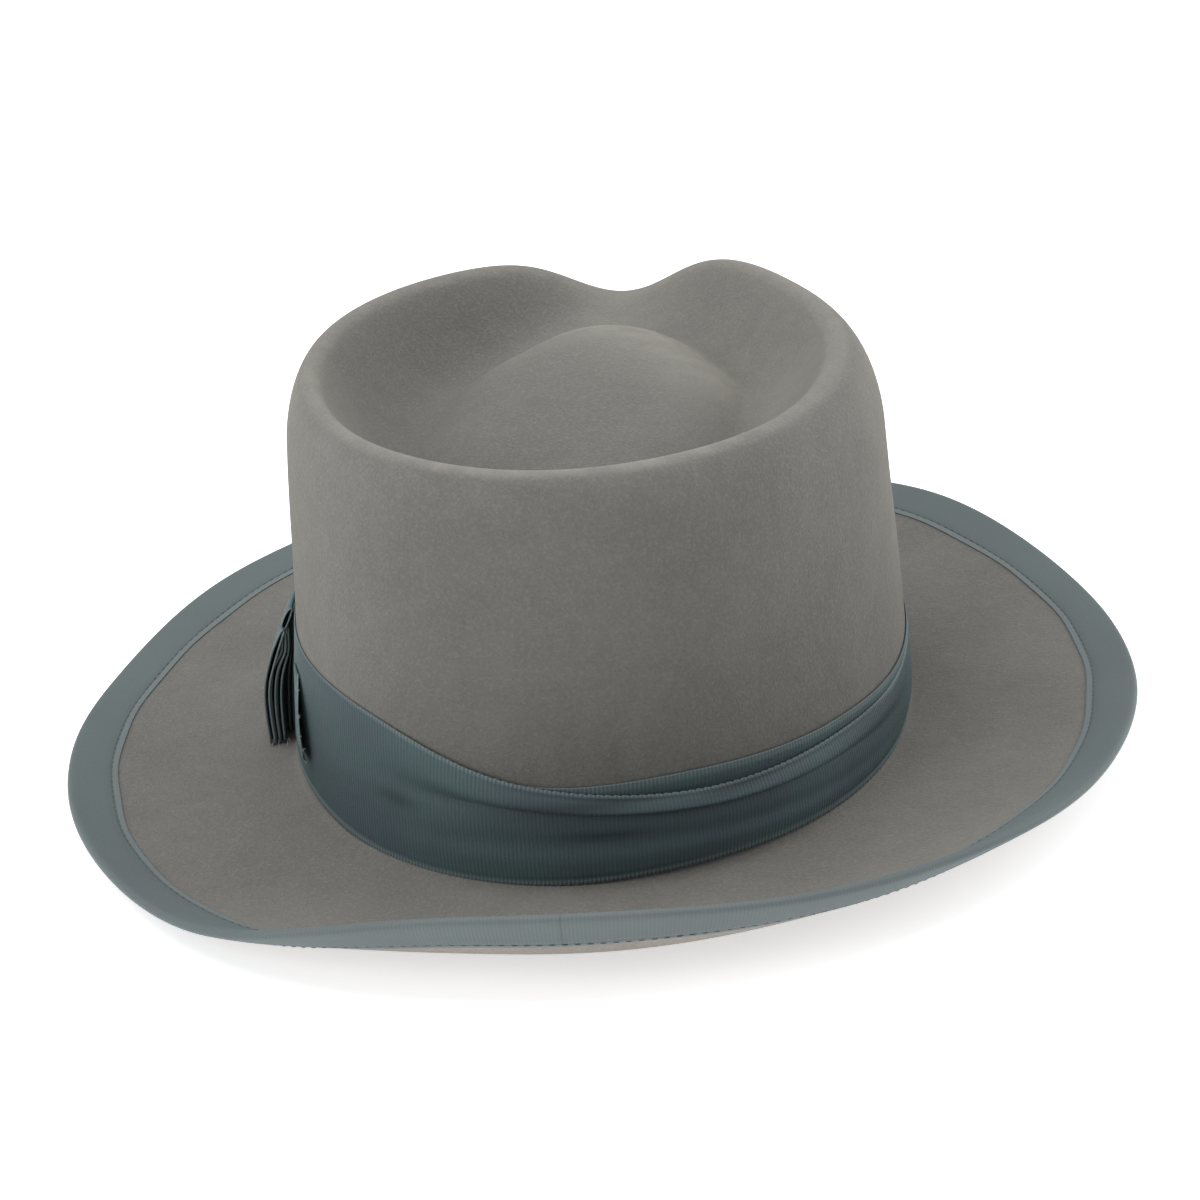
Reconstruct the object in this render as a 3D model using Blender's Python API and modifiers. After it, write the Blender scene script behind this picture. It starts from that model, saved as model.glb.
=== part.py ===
"""A soft felt hat with a teardrop crown, a bound brim, a ribbon band and a side bow.

Frame: +Z up, the wearer faces -Y, the wearer's left is +X.
Every ring-shaped piece is a loft around the head: `turn` is the angle around the hat,
0 at the wearer's left, a quarter turn at the rear.  Heights are measured from the break,
the line where the crown meets the brim, until place_on_floor() sets the hat down.
"""
import math

import bmesh
import bpy
from mathutils import Vector

MM = 0.001
TURNS = 48

# Crown: an oval tube that narrows upwards, with a rounded ridge around a sunken top: a
# crease with a sloping island inside it.  Lists hold a value every 60 degrees: the wall's
# lean, the ridge's height, inset and drop in mm, and the crease's height in mm and reach.
WALL_HALF_WIDTH = 86.2 * MM
WALL_HALF_LENGTH = 103.0 * MM
WALL_LEANS = (0.063, 0.050, 0.057, 0.055, 0.067, 0.056)
FELT_THICKNESS = 1.8 * MM
RIDGE_HEIGHTS = (113.3, 111.1, 109.3, 107.3, 111.3, 110.9)
RIDGE_INSETS = (6.5, 7.4, 8.4, 11.3, 12.1, 9.1)
SHOULDER_DROPS = (17.7, 15.4, 15.8, 23.0, 18.8, 15.5)
NOTCH_DEPTH = 13.9 * MM
NOTCH_TURN = math.radians(276)
NOTCH_HALF_ANGLE = math.radians(18)
TROUGH_HEIGHTS = (87, 86, 86, 87, 90.5, 90.5)
TROUGH_FRONT_RISE = 4.0 * MM
TROUGH_FRONT_HALF_ANGLE = math.radians(27)
TROUGH_REACHES = (0.55, 0.64, 0.65, 0.53, 0.65, 0.65)
ISLAND_HEIGHT = 99.0 * MM
ISLAND_RISE_TO_FRONT = 0.15
ISLAND_FULLNESS = 4.5
ISLAND_ROUNDING = 1.5
ISLAND_SHIFT = Vector((0.0, 4.5 * MM))
PINCH_DEPTH = 5.0 * MM
PINCH_TURNS = (math.radians(232), math.radians(308))
PINCH_HALF_ANGLE = math.radians(17)
PINCH_HEIGHT = 84.0 * MM
PINCH_HALF_HEIGHT = 24.0 * MM

# Brim: its slope, in degrees, at the break (every 60 degrees) and at the edge (every 30).
BREAK_RADIUS = 2.0 * MM
BRIM_WIDTH = 61.6 * MM
BREAK_SLOPES = (-1.4, -3.2, 0.7, 3.5, 5.1, 7.4)
EDGE_SLOPES = (8, 17.5, 25.5, 74, 61.4, 36, 18, 5, 22.5, 6.5, 9.5, 13.5)
CURL_POWER = 2.2
SLOPE_STEPS = 16

# Trim.  The stitches sit at a fixed part of the binding's width, in from the brim's edge.
GAP = 0.35 * MM
BINDING_WIDTH = 12.5 * MM
BINDING_UNDER_WIDTH = 9.5 * MM
BINDING_THICKNESS = 0.55 * MM
BINDING_GAP = 0.6 * MM
STITCH_PLACE = 0.87
THREAD_RADIUS = 0.25 * MM
RIBBON_THICKNESS = 0.55 * MM
# The band is a 40 mm ribbon; a lengthwise fold takes up its slack, so its top, in mm at
# every 30 degrees, dips at the rear and right, where a second layer shows above it.
BAND_FOOT = 1.2 * MM
BAND_TOPS = (40, 42.5, 40.3, 29, 23, 21.6, 21, 31, 35, 37, 38, 39)
UNDER_BAND_FOOT = 6.0 * MM
UNDER_BAND_TOPS = (37, 39, 37.5, 29.5, 28, 25.4, 23.4, 30, 33, 35, 36, 37)

# Bow, on the wearer's left.
BOW_LAYERS = 6
BOW_PITCH = 1.0 * MM
BOW_FRONT_TURN = math.radians(-19)
BOW_REAR_TURN = math.radians(16)
BOW_FOOT = 2.4 * MM
BOW_HEIGHT = 33.0 * MM
BOW_BULGE = 2.0 * MM
BOW_FRONT_TRIM = math.radians(1.2)
BOW_REAR_TRIM = math.radians(0.36)
KNOT_FRONT_TURN = math.radians(-7)
KNOT_REAR_TURN = math.radians(1)
LOOP_FRONT_TURN = math.radians(8.5)
LOOP_REAR_TURN = math.radians(15.5)
LOOP_HEIGHT = 6.5 * MM
FLAP_FRONT_TURN = math.radians(27)
FLAP_REAR_TURN = math.radians(37.5)
FLAP_FOOT = 12.0 * MM
FLAP_HEIGHT = 21.0 * MM
FLAP_LIFT = 2.0 * MM

# Inside.
SWEATBAND_INSET = 3.0 * MM
SWEATBAND_THICKNESS = 1.2 * MM
SWEATBAND_FOOT = -1.5 * MM
SWEATBAND_HEIGHT = 47.5 * MM
REED_RADIUS = 0.7 * MM
REED_INSET = 2.0 * MM
TAPE_INSET = 2.2 * MM
TAPE_THICKNESS = 0.4 * MM
TAPE_FOOT = 0.6 * MM
TAPE_HEIGHT = 4.4 * MM
LINING_FOOT = 34.0 * MM
LINING_THICKNESS = 0.3 * MM
TAG_TURN = math.radians(112)
TAG_WIDTH = 16.0 * MM
TAG_HEIGHT = 10.0 * MM
TAG_DROP = 2.0 * MM
REAR_BOW_TURN = math.radians(90)
REAR_BOW_HALF_ANGLE = math.radians(5.5)
REAR_BOW_DROP = 9.0 * MM
REAR_BOW_WAIST = 1.6 * MM
REAR_BOW_FLARE = 2.6 * MM

HAT = "felt_hat"


# ---------------------------------------------------------------- shape of the hat

def around(values, turn):
    """A smooth value at any turn, through values spaced evenly around the hat."""
    count = len(values)
    place = (turn / math.tau % 1.0) * count
    index = int(place)
    part = place - index
    a, b, c, d = (values[(index + k) % count] for k in (-1, 0, 1, 2))
    bend = 2 * a - 5 * b + 4 * c - d + part * (3 * (b - c) + d - a)
    return b + 0.5 * part * (c - a + part * bend)


def turn_gap(turn, other):
    """The signed angle from one turn to another, from minus to plus half a turn."""
    return (turn - other + math.pi) % math.tau - math.pi


def hump(distance, half_width):
    return math.exp(-(distance / half_width) ** 2)


def pinch(turn, height):
    """How far the two dents at the front of the crown push the wall in."""
    sides = sum(hump(turn_gap(turn, side), PINCH_HALF_ANGLE) for side in PINCH_TURNS)
    return PINCH_DEPTH * sides * hump(height - PINCH_HEIGHT, PINCH_HALF_HEIGHT)


def wall_point(turn, height, out=0.0):
    """A point on the crown's outer wall, moved outwards by `out`."""
    lean = around(WALL_LEANS, turn) * height
    half_width = WALL_HALF_WIDTH - lean
    half_length = WALL_HALF_LENGTH - lean
    place = Vector((half_width * math.cos(turn), half_length * math.sin(turn)))
    normal = Vector((half_length * math.cos(turn), half_width * math.sin(turn))).normalized()
    place += normal * (out - pinch(turn, height))
    return Vector((place.x, place.y, height))


def ridge_height(turn):
    notch = NOTCH_DEPTH * hump(turn_gap(turn, NOTCH_TURN), NOTCH_HALF_ANGLE)
    return around(RIDGE_HEIGHTS, turn) * MM - notch


def inner_fall(part):
    """How far the slope inside the ridge has fallen, part of the way to the crease."""
    return part * part * (6 - 8 * part + 3 * part * part)


def trough_level(turn):
    """The height of the crease around the island, which rises towards the front notch."""
    rise = TROUGH_FRONT_RISE * hump(turn_gap(turn, NOTCH_TURN), TROUGH_FRONT_HALF_ANGLE)
    return around(TROUGH_HEIGHTS, turn) * MM + rise


def island_level(back):
    """The height of the island inside the crease, which slopes down towards the rear."""
    return ISLAND_HEIGHT - ISLAND_RISE_TO_FRONT * back


def crown_rows(turn):
    """The crown's outer surface at one turn, from the foot of its wall to its centre."""
    drop = around(SHOULDER_DROPS, turn) * MM
    shoulder = ridge_height(turn) - drop
    rows = [wall_point(turn, BREAK_RADIUS + f * (shoulder - BREAK_RADIUS))
            for f in (0.0, 0.3, 0.55, 0.78, 1.0)]
    for angle in (math.radians(27), math.radians(55), math.radians(90)):
        inset = around(RIDGE_INSETS, turn) * MM * (1 - math.cos(angle))
        height = shoulder + drop * math.sin(angle)
        rows.append(wall_point(turn, height, -inset))
    ridge = rows[-1]
    rim = wall_point(turn, trough_level(turn)).xy * around(TROUGH_REACHES, turn)
    trough = (ISLAND_SHIFT + rim).to_3d()
    trough.z = trough_level(turn)
    for f in (0.3, 0.65, 1.0):
        point = ridge.lerp(trough, f)
        point.z = ridge.z + (trough.z - ridge.z) * inner_fall(f)
        rows.append(point)
    for f in (0.85, 0.65, 0.35):
        point = ISLAND_SHIFT.to_3d().lerp(trough, f)
        share = (1 - f ** ISLAND_FULLNESS) ** ISLAND_ROUNDING
        point.z = trough.z * (1 - share) + island_level(point.y) * share
        rows.append(point)
    return rows


def crown_centre():
    return Vector((ISLAND_SHIFT.x, ISLAND_SHIFT.y, island_level(ISLAND_SHIFT.y)))


def brim_point(turn, along, lift=0.0):
    """A point on the brim's upper face, `along` from the break, raised along its normal."""
    start = around(BREAK_SLOPES, turn)
    edge = around(EDGE_SLOPES, turn)
    step = along / SLOPE_STEPS
    reach = BREAK_RADIUS
    height = 0.0
    for k in range(SLOPE_STEPS):
        part = min((k + 0.5) * step / BRIM_WIDTH, 1.0)
        slope = math.radians(start + (edge - start) * part ** CURL_POWER)
        reach += step * math.cos(slope)
        height += step * math.sin(slope)
    part = min(along / BRIM_WIDTH, 1.0)
    slope = math.radians(start + (edge - start) * part ** CURL_POWER)
    foot = wall_point(turn, 0.0, reach - lift * math.sin(slope))
    return Vector((foot.x, foot.y, height + lift * math.cos(slope)))


def binding_stations(width):
    """Distances from the break at which one face of the binding has a row."""
    return [BRIM_WIDTH - width * f for f in (1.0, 0.75, 0.5, 0.25, 0.0)]


def brim_rows(turn):
    """The brim's upper face at one turn, from its edge in to the foot of the crown."""
    free = BRIM_WIDTH - BINDING_WIDTH
    stations = binding_stations(BINDING_WIDTH)[::-1] + [free * f for f in (0.8, 0.55, 0.28, 0.0)]
    rows = [brim_point(turn, along) for along in stations]
    middle = math.radians(45)
    out = BREAK_RADIUS * (1 - math.cos(middle))
    rows.append(wall_point(turn, BREAK_RADIUS * (1 - math.sin(middle)), out))
    return rows


# ---------------------------------------------------------------- mesh helpers

def cloth(name, colour, roughness):
    """A plain material for one kind of cloth, leather or thread."""
    material = bpy.data.materials.get(name) or bpy.data.materials.new(name)
    material.use_nodes = True
    shader = material.node_tree.nodes["Principled BSDF"]
    shader.inputs["Base Color"].default_value = (*colour, 1.0)
    shader.inputs["Roughness"].default_value = roughness
    shader.inputs["Metallic"].default_value = 0.0
    return material


def add_piece(name, mesh, material):
    mesh.materials.append(material)
    mesh.shade_smooth()
    mesh.set_sharp_from_angle(angle=math.radians(40))
    piece = bpy.data.objects.new(name, mesh)
    bpy.data.collections[HAT].objects.link(piece)
    return piece


def thicken(piece, thickness):
    """Turn an open surface into a shell that lies on the surface's inner side."""
    solidify = piece.modifiers.new("thickness", "SOLIDIFY")
    solidify.thickness = thickness
    solidify.offset = -1.0


def bridge(bm, first, second, closed):
    """Quads between two rows of vertices that hold the same number."""
    count = len(first) if closed else len(first) - 1
    for k in range(count):
        after = (k + 1) % len(first)
        bm.faces.new((first[k], first[after], second[after], second[k]))


def ring_solid(name, material, section):
    """A closed section, given as points at each turn, lofted around the hat."""
    bm = bmesh.new()
    loops = []
    for k in range(TURNS):
        points = section(math.tau * k / TURNS)
        loops.append([bm.verts.new(point) for point in points])
    for k, loop in enumerate(loops):
        bridge(bm, loop, loops[(k + 1) % TURNS], closed=True)
    bmesh.ops.recalc_face_normals(bm, faces=bm.faces)
    mesh = bpy.data.meshes.new(name)
    bm.to_mesh(mesh)
    bm.free()
    return add_piece(name, mesh, material)


def skin(name, material, rows_at, centre=None, sink=0.0):
    """An open surface around the hat, from rows of points, with its normals outwards.

    It closes on `centre` if that is given, and moves in along its normals by `sink`.
    """
    bm = bmesh.new()
    columns = [rows_at(math.tau * k / TURNS) for k in range(TURNS)]
    rings = [[bm.verts.new(column[r]) for column in columns] for r in range(len(columns[0]))]
    for lower, upper in zip(rings, rings[1:]):
        bridge(bm, lower, upper, closed=True)
    if centre:
        hub = bm.verts.new(centre)
        last = rings[-1]
        for k in range(TURNS):
            bm.faces.new((last[k], last[(k + 1) % TURNS], hub))
    bm.normal_update()
    for vert, normal in [(vert, vert.normal.copy()) for vert in bm.verts]:
        vert.co -= normal * sink
    mesh = bpy.data.meshes.new(name)
    bm.to_mesh(mesh)
    bm.free()
    return add_piece(name, mesh, material)


def sheet(name, material, columns, thickness):
    """A patch of ribbon or paper from columns of points, thickened on its inner side."""
    bm = bmesh.new()
    lines = [[bm.verts.new(point) for point in column] for column in columns]
    for first, second in zip(lines, lines[1:]):
        bridge(bm, second, first, closed=False)
    mesh = bpy.data.meshes.new(name)
    bm.to_mesh(mesh)
    bm.free()
    piece = add_piece(name, mesh, material)
    thicken(piece, thickness)
    return piece


def steps(start, end, count):
    return [start + (end - start) * k / (count - 1) for k in range(count)]


def upright_section(turn, inner, outer, heights):
    """A thin upright section between two distances from the crown's wall."""
    outside = [wall_point(turn, height, outer) for height in heights]
    inside = [wall_point(turn, height, inner) for height in reversed(heights)]
    return outside + inside


def round_section(turn, point_at):
    """Four points around a thread or reed, from its offsets across and up."""
    return [point_at(math.cos(a), math.sin(a)) for a in (0.0, math.pi / 2, math.pi, 1.5 * math.pi)]


# ---------------------------------------------------------------- felt and binding

def make_felt_body(felt):
    """The crown and brim, one piece of felt."""
    def rows(turn):
        return brim_rows(turn) + crown_rows(turn)

    body = skin("felt_body", felt, rows, crown_centre())
    thicken(body, FELT_THICKNESS)


def make_brim_binding(ribbon):
    """Ribbon folded over the brim's edge, open towards the crown, narrower underneath."""
    near = BINDING_GAP
    far = BINDING_GAP + BINDING_THICKNESS
    middle = -FELT_THICKNESS / 2
    above = binding_stations(BINDING_WIDTH)
    below = binding_stations(BINDING_UNDER_WIDTH)

    def section(turn):
        points = [brim_point(turn, s, far) for s in above]
        points.append(brim_point(turn, BRIM_WIDTH + far, middle))
        points += [brim_point(turn, s, -FELT_THICKNESS - far) for s in reversed(below)]
        points += [brim_point(turn, s, -FELT_THICKNESS - near) for s in below]
        points.append(brim_point(turn, BRIM_WIDTH + near, middle))
        points += [brim_point(turn, s, near) for s in reversed(above)]
        return points

    ring_solid("brim_binding", ribbon, section)


def make_binding_stitches(thread):
    """The thread on each face of the binding, just outside its inner edge."""
    clear = BINDING_GAP + BINDING_THICKNESS + GAP + THREAD_RADIUS

    def stitch(name, width, lift):
        along = BRIM_WIDTH - STITCH_PLACE * width

        def section(turn):
            return round_section(turn, lambda across, up: brim_point(
                turn, along + THREAD_RADIUS * across, lift + THREAD_RADIUS * up))
        ring_solid(name, thread, section)

    stitch("binding_stitch_upper", BINDING_WIDTH, clear)
    stitch("binding_stitch_lower", BINDING_UNDER_WIDTH, -FELT_THICKNESS - clear)


# ---------------------------------------------------------------- band and bow

def make_bands(ribbon):
    """The ribbon band, and a second layer of ribbon that shows above it at the rear right."""
    def section(turn, layer, foot, tops):
        inner = GAP + layer * (GAP + RIBBON_THICKNESS)
        heights = steps(foot, around(tops, turn) * MM, 2)
        return upright_section(turn, inner, inner + RIBBON_THICKNESS, heights)

    ring_solid("under_band", ribbon, lambda turn: section(turn, 0, UNDER_BAND_FOOT, UNDER_BAND_TOPS))
    ring_solid("hat_band", ribbon, lambda turn: section(turn, 1, BAND_FOOT, BAND_TOPS))


def bow_out(layer, height):
    """How far a layer of the bow stands off the crown's wall at a height."""
    base = 3 * (GAP + RIBBON_THICKNESS) + BOW_PITCH * layer
    part = (height - BOW_FOOT) / BOW_HEIGHT
    return base + BOW_BULGE * layer / (BOW_LAYERS - 1) * math.sin(math.pi * part)


def make_bow_layers(ribbon):
    """Flat folds of ribbon, one outside the other, with their ends towards the rear."""
    for layer in range(BOW_LAYERS):
        front = BOW_FRONT_TURN + BOW_FRONT_TRIM * layer
        turns = steps(front, BOW_REAR_TURN - BOW_REAR_TRIM * layer, 7)
        heights = steps(BOW_FOOT, BOW_FOOT + BOW_HEIGHT, 6)
        columns = [[wall_point(turn, h, bow_out(layer, h)) for h in heights] for turn in turns]
        sheet(f"bow_layer_{layer + 1}", ribbon, columns, RIBBON_THICKNESS)


def make_bow_knot(ribbon):
    """The crosspiece that wraps over the folds and turns in above and below them."""
    last = BOW_LAYERS - 1
    foot = BOW_FOOT - GAP
    top = BOW_FOOT + BOW_HEIGHT + GAP + RIBBON_THICKNESS
    over = GAP + RIBBON_THICKNESS
    heights = steps(BOW_FOOT, BOW_FOOT + BOW_HEIGHT, 6)
    tuck = bow_out(0, BOW_FOOT) + BOW_PITCH
    columns = []
    for turn in steps(KNOT_FRONT_TURN, KNOT_REAR_TURN, 3):
        column = [wall_point(turn, foot - RIBBON_THICKNESS, tuck)]
        column += [wall_point(turn, foot - RIBBON_THICKNESS, bow_out(last, BOW_FOOT) + over)]
        column += [wall_point(turn, h, bow_out(last, h) + over) for h in heights[1:-1]]
        column += [wall_point(turn, top, bow_out(last, BOW_FOOT) + over)]
        column += [wall_point(turn, top, tuck)]
        columns.append(column)
    sheet("bow_knot", ribbon, columns, RIBBON_THICKNESS)


def make_bow_loop(ribbon):
    """A narrow loop of ribbon that stands above the bow's rear end, against the band.

    Its profile gives distances off the wall in mm and parts of the loop's height.
    """
    foot = BOW_FOOT + BOW_HEIGHT + GAP
    profile = [(4.6, 0.0), (4.6, 0.35), (4.4, 0.7), (4.0, 0.9), (3.4, 1.0), (2.9, 0.9),
               (2.45, 0.7), (2.25, 0.35), (2.2, 0.0)]
    columns = []
    for turn in steps(LOOP_FRONT_TURN, LOOP_REAR_TURN, 4):
        columns.append([wall_point(turn, foot + LOOP_HEIGHT * up, out * MM) for out, up in profile])
    sheet("bow_upper_loop", ribbon, columns, RIBBON_THICKNESS)


def make_band_end(ribbon):
    """The loose end of the band, lifting off a little way behind the bow."""
    columns = []
    heights = steps(FLAP_FOOT, FLAP_FOOT + FLAP_HEIGHT, 4)
    for part in steps(0.0, 1.0, 4):
        turn = FLAP_FRONT_TURN + (FLAP_REAR_TURN - FLAP_FRONT_TURN) * part
        out = 3 * (GAP + RIBBON_THICKNESS) + FLAP_LIFT * part
        columns.append([wall_point(turn, h, out) for h in heights])
    sheet("band_end_flap", ribbon, columns, RIBBON_THICKNESS)


# ---------------------------------------------------------------- inside

def make_sweatband(leather, plastic, tape, thread):
    """The leather sweatband with its reed, its tape and its sewing thread."""
    inner = -SWEATBAND_INSET - SWEATBAND_THICKNESS
    heights = steps(SWEATBAND_FOOT, SWEATBAND_FOOT + SWEATBAND_HEIGHT, 2)
    ring_solid("sweatband", leather, lambda turn: upright_section(
        turn, inner, -SWEATBAND_INSET, heights))
    tape_heights = steps(TAPE_FOOT, TAPE_FOOT + TAPE_HEIGHT, 2)
    ring_solid("reed_tape", tape, lambda turn: upright_section(
        turn, -TAPE_INSET - TAPE_THICKNESS, -TAPE_INSET, tape_heights))

    def reed_section(turn):
        return round_section(turn, lambda across, up: wall_point(
            turn, -REED_RADIUS + REED_RADIUS * up, -REED_INSET + REED_RADIUS * across))

    def thread_section(turn):
        out = inner - GAP - THREAD_RADIUS
        return round_section(turn, lambda across, up: wall_point(
            turn, TAPE_FOOT + TAPE_HEIGHT / 2 + THREAD_RADIUS * up, out + THREAD_RADIUS * across))

    ring_solid("sweatband_reed", plastic, reed_section)
    ring_solid("sweatband_stitch", thread, thread_section)


def make_sweatband_bow(ribbon):
    """The small flat bow that covers the sweatband's seam at the rear."""
    out = -SWEATBAND_INSET - SWEATBAND_THICKNESS - GAP
    centre = SWEATBAND_FOOT + SWEATBAND_HEIGHT - REAR_BOW_DROP
    columns = []
    for f in (-1.0, -0.5, -0.12, 0.0, 0.12, 0.5, 1.0):
        turn = REAR_BOW_TURN + REAR_BOW_HALF_ANGLE * f
        half = REAR_BOW_WAIST + REAR_BOW_FLARE * abs(f)
        columns.append([wall_point(turn, centre + k * half, out) for k in (-1, 0, 1)])
    sheet("sweatband_rear_bow", ribbon, columns, RIBBON_THICKNESS)


def make_size_tag(paper):
    """A blank paper tag against the sweatband's inner face."""
    out = -SWEATBAND_INSET - SWEATBAND_THICKNESS - GAP
    half = TAG_WIDTH / 2 / WALL_HALF_LENGTH
    foot = SWEATBAND_FOOT + SWEATBAND_HEIGHT - TAG_HEIGHT - TAG_DROP
    columns = [[wall_point(turn, height, out) for height in (foot, foot + TAG_HEIGHT)]
               for turn in steps(TAG_TURN - half, TAG_TURN + half, 4)]
    sheet("size_tag", paper, columns, LINING_THICKNESS)


def make_lining(satin):
    """The satin lining: a side strip and a tip that follows the crown's top."""
    sink = FELT_THICKNESS + GAP

    def side_rows(turn):
        return [wall_point(turn, LINING_FOOT)] + crown_rows(turn)[2:5]

    def tip_rows(turn):
        return crown_rows(turn)[5:]

    side = skin("lining_side", satin, side_rows, sink=sink)
    thicken(side, LINING_THICKNESS)
    tip = skin("lining_tip", satin, tip_rows, crown_centre(), sink=sink)
    thicken(tip, LINING_THICKNESS)


# ---------------------------------------------------------------- assembly

def place_on_floor():
    """Move every piece so that the origin is the centre of the hat's base."""
    graph = bpy.context.evaluated_depsgraph_get()
    pieces = list(bpy.data.collections[HAT].objects)
    low = Vector((math.inf,) * 3)
    high = Vector((-math.inf,) * 3)
    for piece in pieces:
        shape = piece.evaluated_get(graph)
        mesh = shape.to_mesh()
        for vert in mesh.vertices:
            low = Vector(map(min, low, vert.co))
            high = Vector(map(max, high, vert.co))
        shape.to_mesh_clear()
    base = Vector(((low.x + high.x) / 2, (low.y + high.y) / 2, low.z))
    for piece in pieces:
        piece.location = -base


def main():
    for thing in list(bpy.data.objects):
        bpy.data.objects.remove(thing, do_unlink=True)
    collection = bpy.data.collections.new(HAT)
    bpy.context.scene.collection.children.link(collection)

    felt = cloth("felt", (0.145, 0.138, 0.125), 0.95)
    binding = cloth("binding_ribbon", (0.13, 0.16, 0.165), 0.8)
    ribbon = cloth("band_ribbon", (0.045, 0.065, 0.07), 0.75)
    thread = cloth("thread", (0.12, 0.15, 0.155), 0.7)
    leather = cloth("sweatband_leather", (0.28, 0.15, 0.08), 0.5)
    plastic = cloth("reed_plastic", (0.6, 0.6, 0.56), 0.4)
    tape = cloth("reed_tape", (0.1, 0.1, 0.1), 0.8)
    satin = cloth("lining_satin", (0.42, 0.38, 0.32), 0.35)
    paper = cloth("tag_paper", (0.75, 0.72, 0.64), 0.9)

    make_felt_body(felt)
    make_brim_binding(binding)
    make_binding_stitches(thread)
    make_bands(ribbon)
    make_bow_layers(ribbon)
    make_bow_knot(ribbon)
    make_bow_loop(ribbon)
    make_band_end(ribbon)
    make_sweatband(leather, plastic, tape, thread)
    make_sweatband_bow(ribbon)
    make_size_tag(paper)
    make_lining(satin)
    place_on_floor()


main()
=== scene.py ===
"""The look of the felt hat: napped felt, ribbed ribbon, folds, stitches, leather and satin.

Frame: +Z up, the wearer faces -Y, the wearer's left is +X.  Around the hat, `turn` is 0 at
the wearer's left and a quarter turn at the rear.  Heights are measured from the break, the
line where the crown meets the brim, and lie() moves each mesh from there to the CAD's frame.
"""
import math

import bpy
import numpy as np
from mathutils import Matrix, Vector


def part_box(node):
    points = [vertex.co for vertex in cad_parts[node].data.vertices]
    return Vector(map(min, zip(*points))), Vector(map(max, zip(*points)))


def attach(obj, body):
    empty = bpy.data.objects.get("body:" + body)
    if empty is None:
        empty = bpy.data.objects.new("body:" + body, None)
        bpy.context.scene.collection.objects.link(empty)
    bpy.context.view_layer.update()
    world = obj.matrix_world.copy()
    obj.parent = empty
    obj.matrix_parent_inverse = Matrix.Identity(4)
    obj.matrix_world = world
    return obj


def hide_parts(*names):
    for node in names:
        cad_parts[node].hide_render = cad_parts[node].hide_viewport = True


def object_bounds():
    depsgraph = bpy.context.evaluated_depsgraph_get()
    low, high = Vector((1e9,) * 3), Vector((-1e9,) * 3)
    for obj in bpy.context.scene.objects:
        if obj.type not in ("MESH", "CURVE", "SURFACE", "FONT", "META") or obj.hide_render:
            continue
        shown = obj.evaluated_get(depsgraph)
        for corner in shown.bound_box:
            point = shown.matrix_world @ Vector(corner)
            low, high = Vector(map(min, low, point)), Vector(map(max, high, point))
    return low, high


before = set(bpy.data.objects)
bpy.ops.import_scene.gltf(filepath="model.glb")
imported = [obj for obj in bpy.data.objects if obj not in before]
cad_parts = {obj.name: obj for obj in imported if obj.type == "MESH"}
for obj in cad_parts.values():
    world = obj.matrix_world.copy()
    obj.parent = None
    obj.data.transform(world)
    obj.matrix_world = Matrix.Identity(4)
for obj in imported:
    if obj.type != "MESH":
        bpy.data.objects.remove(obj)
CAD_LOW, CAD_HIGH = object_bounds()

MM = 0.001
TAU = math.tau

# The hat's shape, as in the CAD part.
WALL_HALF_WIDTH = 86.2 * MM
WALL_HALF_LENGTH = 103.0 * MM
WALL_LEANS = (0.063, 0.050, 0.057, 0.055, 0.067, 0.056)
FELT_THICKNESS = 1.8 * MM
RIDGE_HEIGHTS = (113.3, 111.1, 109.3, 107.3, 111.3, 110.9)
RIDGE_INSETS = (6.5, 7.4, 8.4, 11.3, 12.1, 9.1)
SHOULDER_DROPS = (17.7, 15.4, 15.8, 23.0, 18.8, 15.5)
NOTCH_DEPTH = 13.9 * MM
NOTCH_TURN = math.radians(276)
NOTCH_HALF_ANGLE = math.radians(18)
TROUGH_HEIGHTS = (87, 86, 86, 87, 90.5, 90.5)
TROUGH_FRONT_RISE = 4.0 * MM
TROUGH_FRONT_HALF_ANGLE = math.radians(27)
TROUGH_REACHES = (0.55, 0.64, 0.65, 0.53, 0.65, 0.65)
ISLAND_HEIGHT = 99.0 * MM
ISLAND_RISE_TO_FRONT = 0.15
ISLAND_FULLNESS = 4.5
ISLAND_ROUNDING = 1.5
ISLAND_SHIFT = (0.0, 4.5 * MM)
PINCH_DEPTH = 5.0 * MM
PINCH_TURNS = (math.radians(232), math.radians(308))
PINCH_HALF_ANGLE = math.radians(17)
PINCH_HEIGHT = 84.0 * MM
PINCH_HALF_HEIGHT = 24.0 * MM
SWELL_DEPTH = 1.1 * MM
SWELL_TURN = math.radians(195)
SWELL_HALF_ANGLE = 0.6
SWELL_HEIGHT = 60 * MM
BREAK_RADIUS = 2.0 * MM
BRIM_WIDTH = 61.6 * MM
BREAK_SLOPES = (-1.4, -3.2, 0.7, 3.5, 5.1, 7.4)
EDGE_SLOPES = (8, 17.5, 25.5, 74, 61.4, 36, 18, 5, 22.5, 6.5, 9.5, 13.5)
CURL_POWER = 2.2
SLOPE_STEPS = 16
# Waves in the felt: depth, waves around the hat, radians per metre of height or width, start.
WALL_WAVES = ((0.2 * MM, 3, 60, 1), (0.12 * MM, 7, -90, 0))
BRIM_WAVE = (0.35 * MM, 11, 90)
SWEATBAND_FOOT = -1.5 * MM
SWEATBAND_HEIGHT = 47.5 * MM

# Felt mesh: columns around the hat, and rows from the brim's edge to the crown's centre.
FELT_TURNS = 288
BRIM_ROWS = 44
BREAK_ANGLES = (72, 54, 36, 18)
WALL_ROWS = 40
SHOULDER_ROWS = 14
SLOPE_ROWS = 24
ISLAND_ROWS = 30
RIDGE_ROW = WALL_ROWS + SHOULDER_ROWS - 1
TROUGH_ROW = RIDGE_ROW + SLOPE_ROWS

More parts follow.
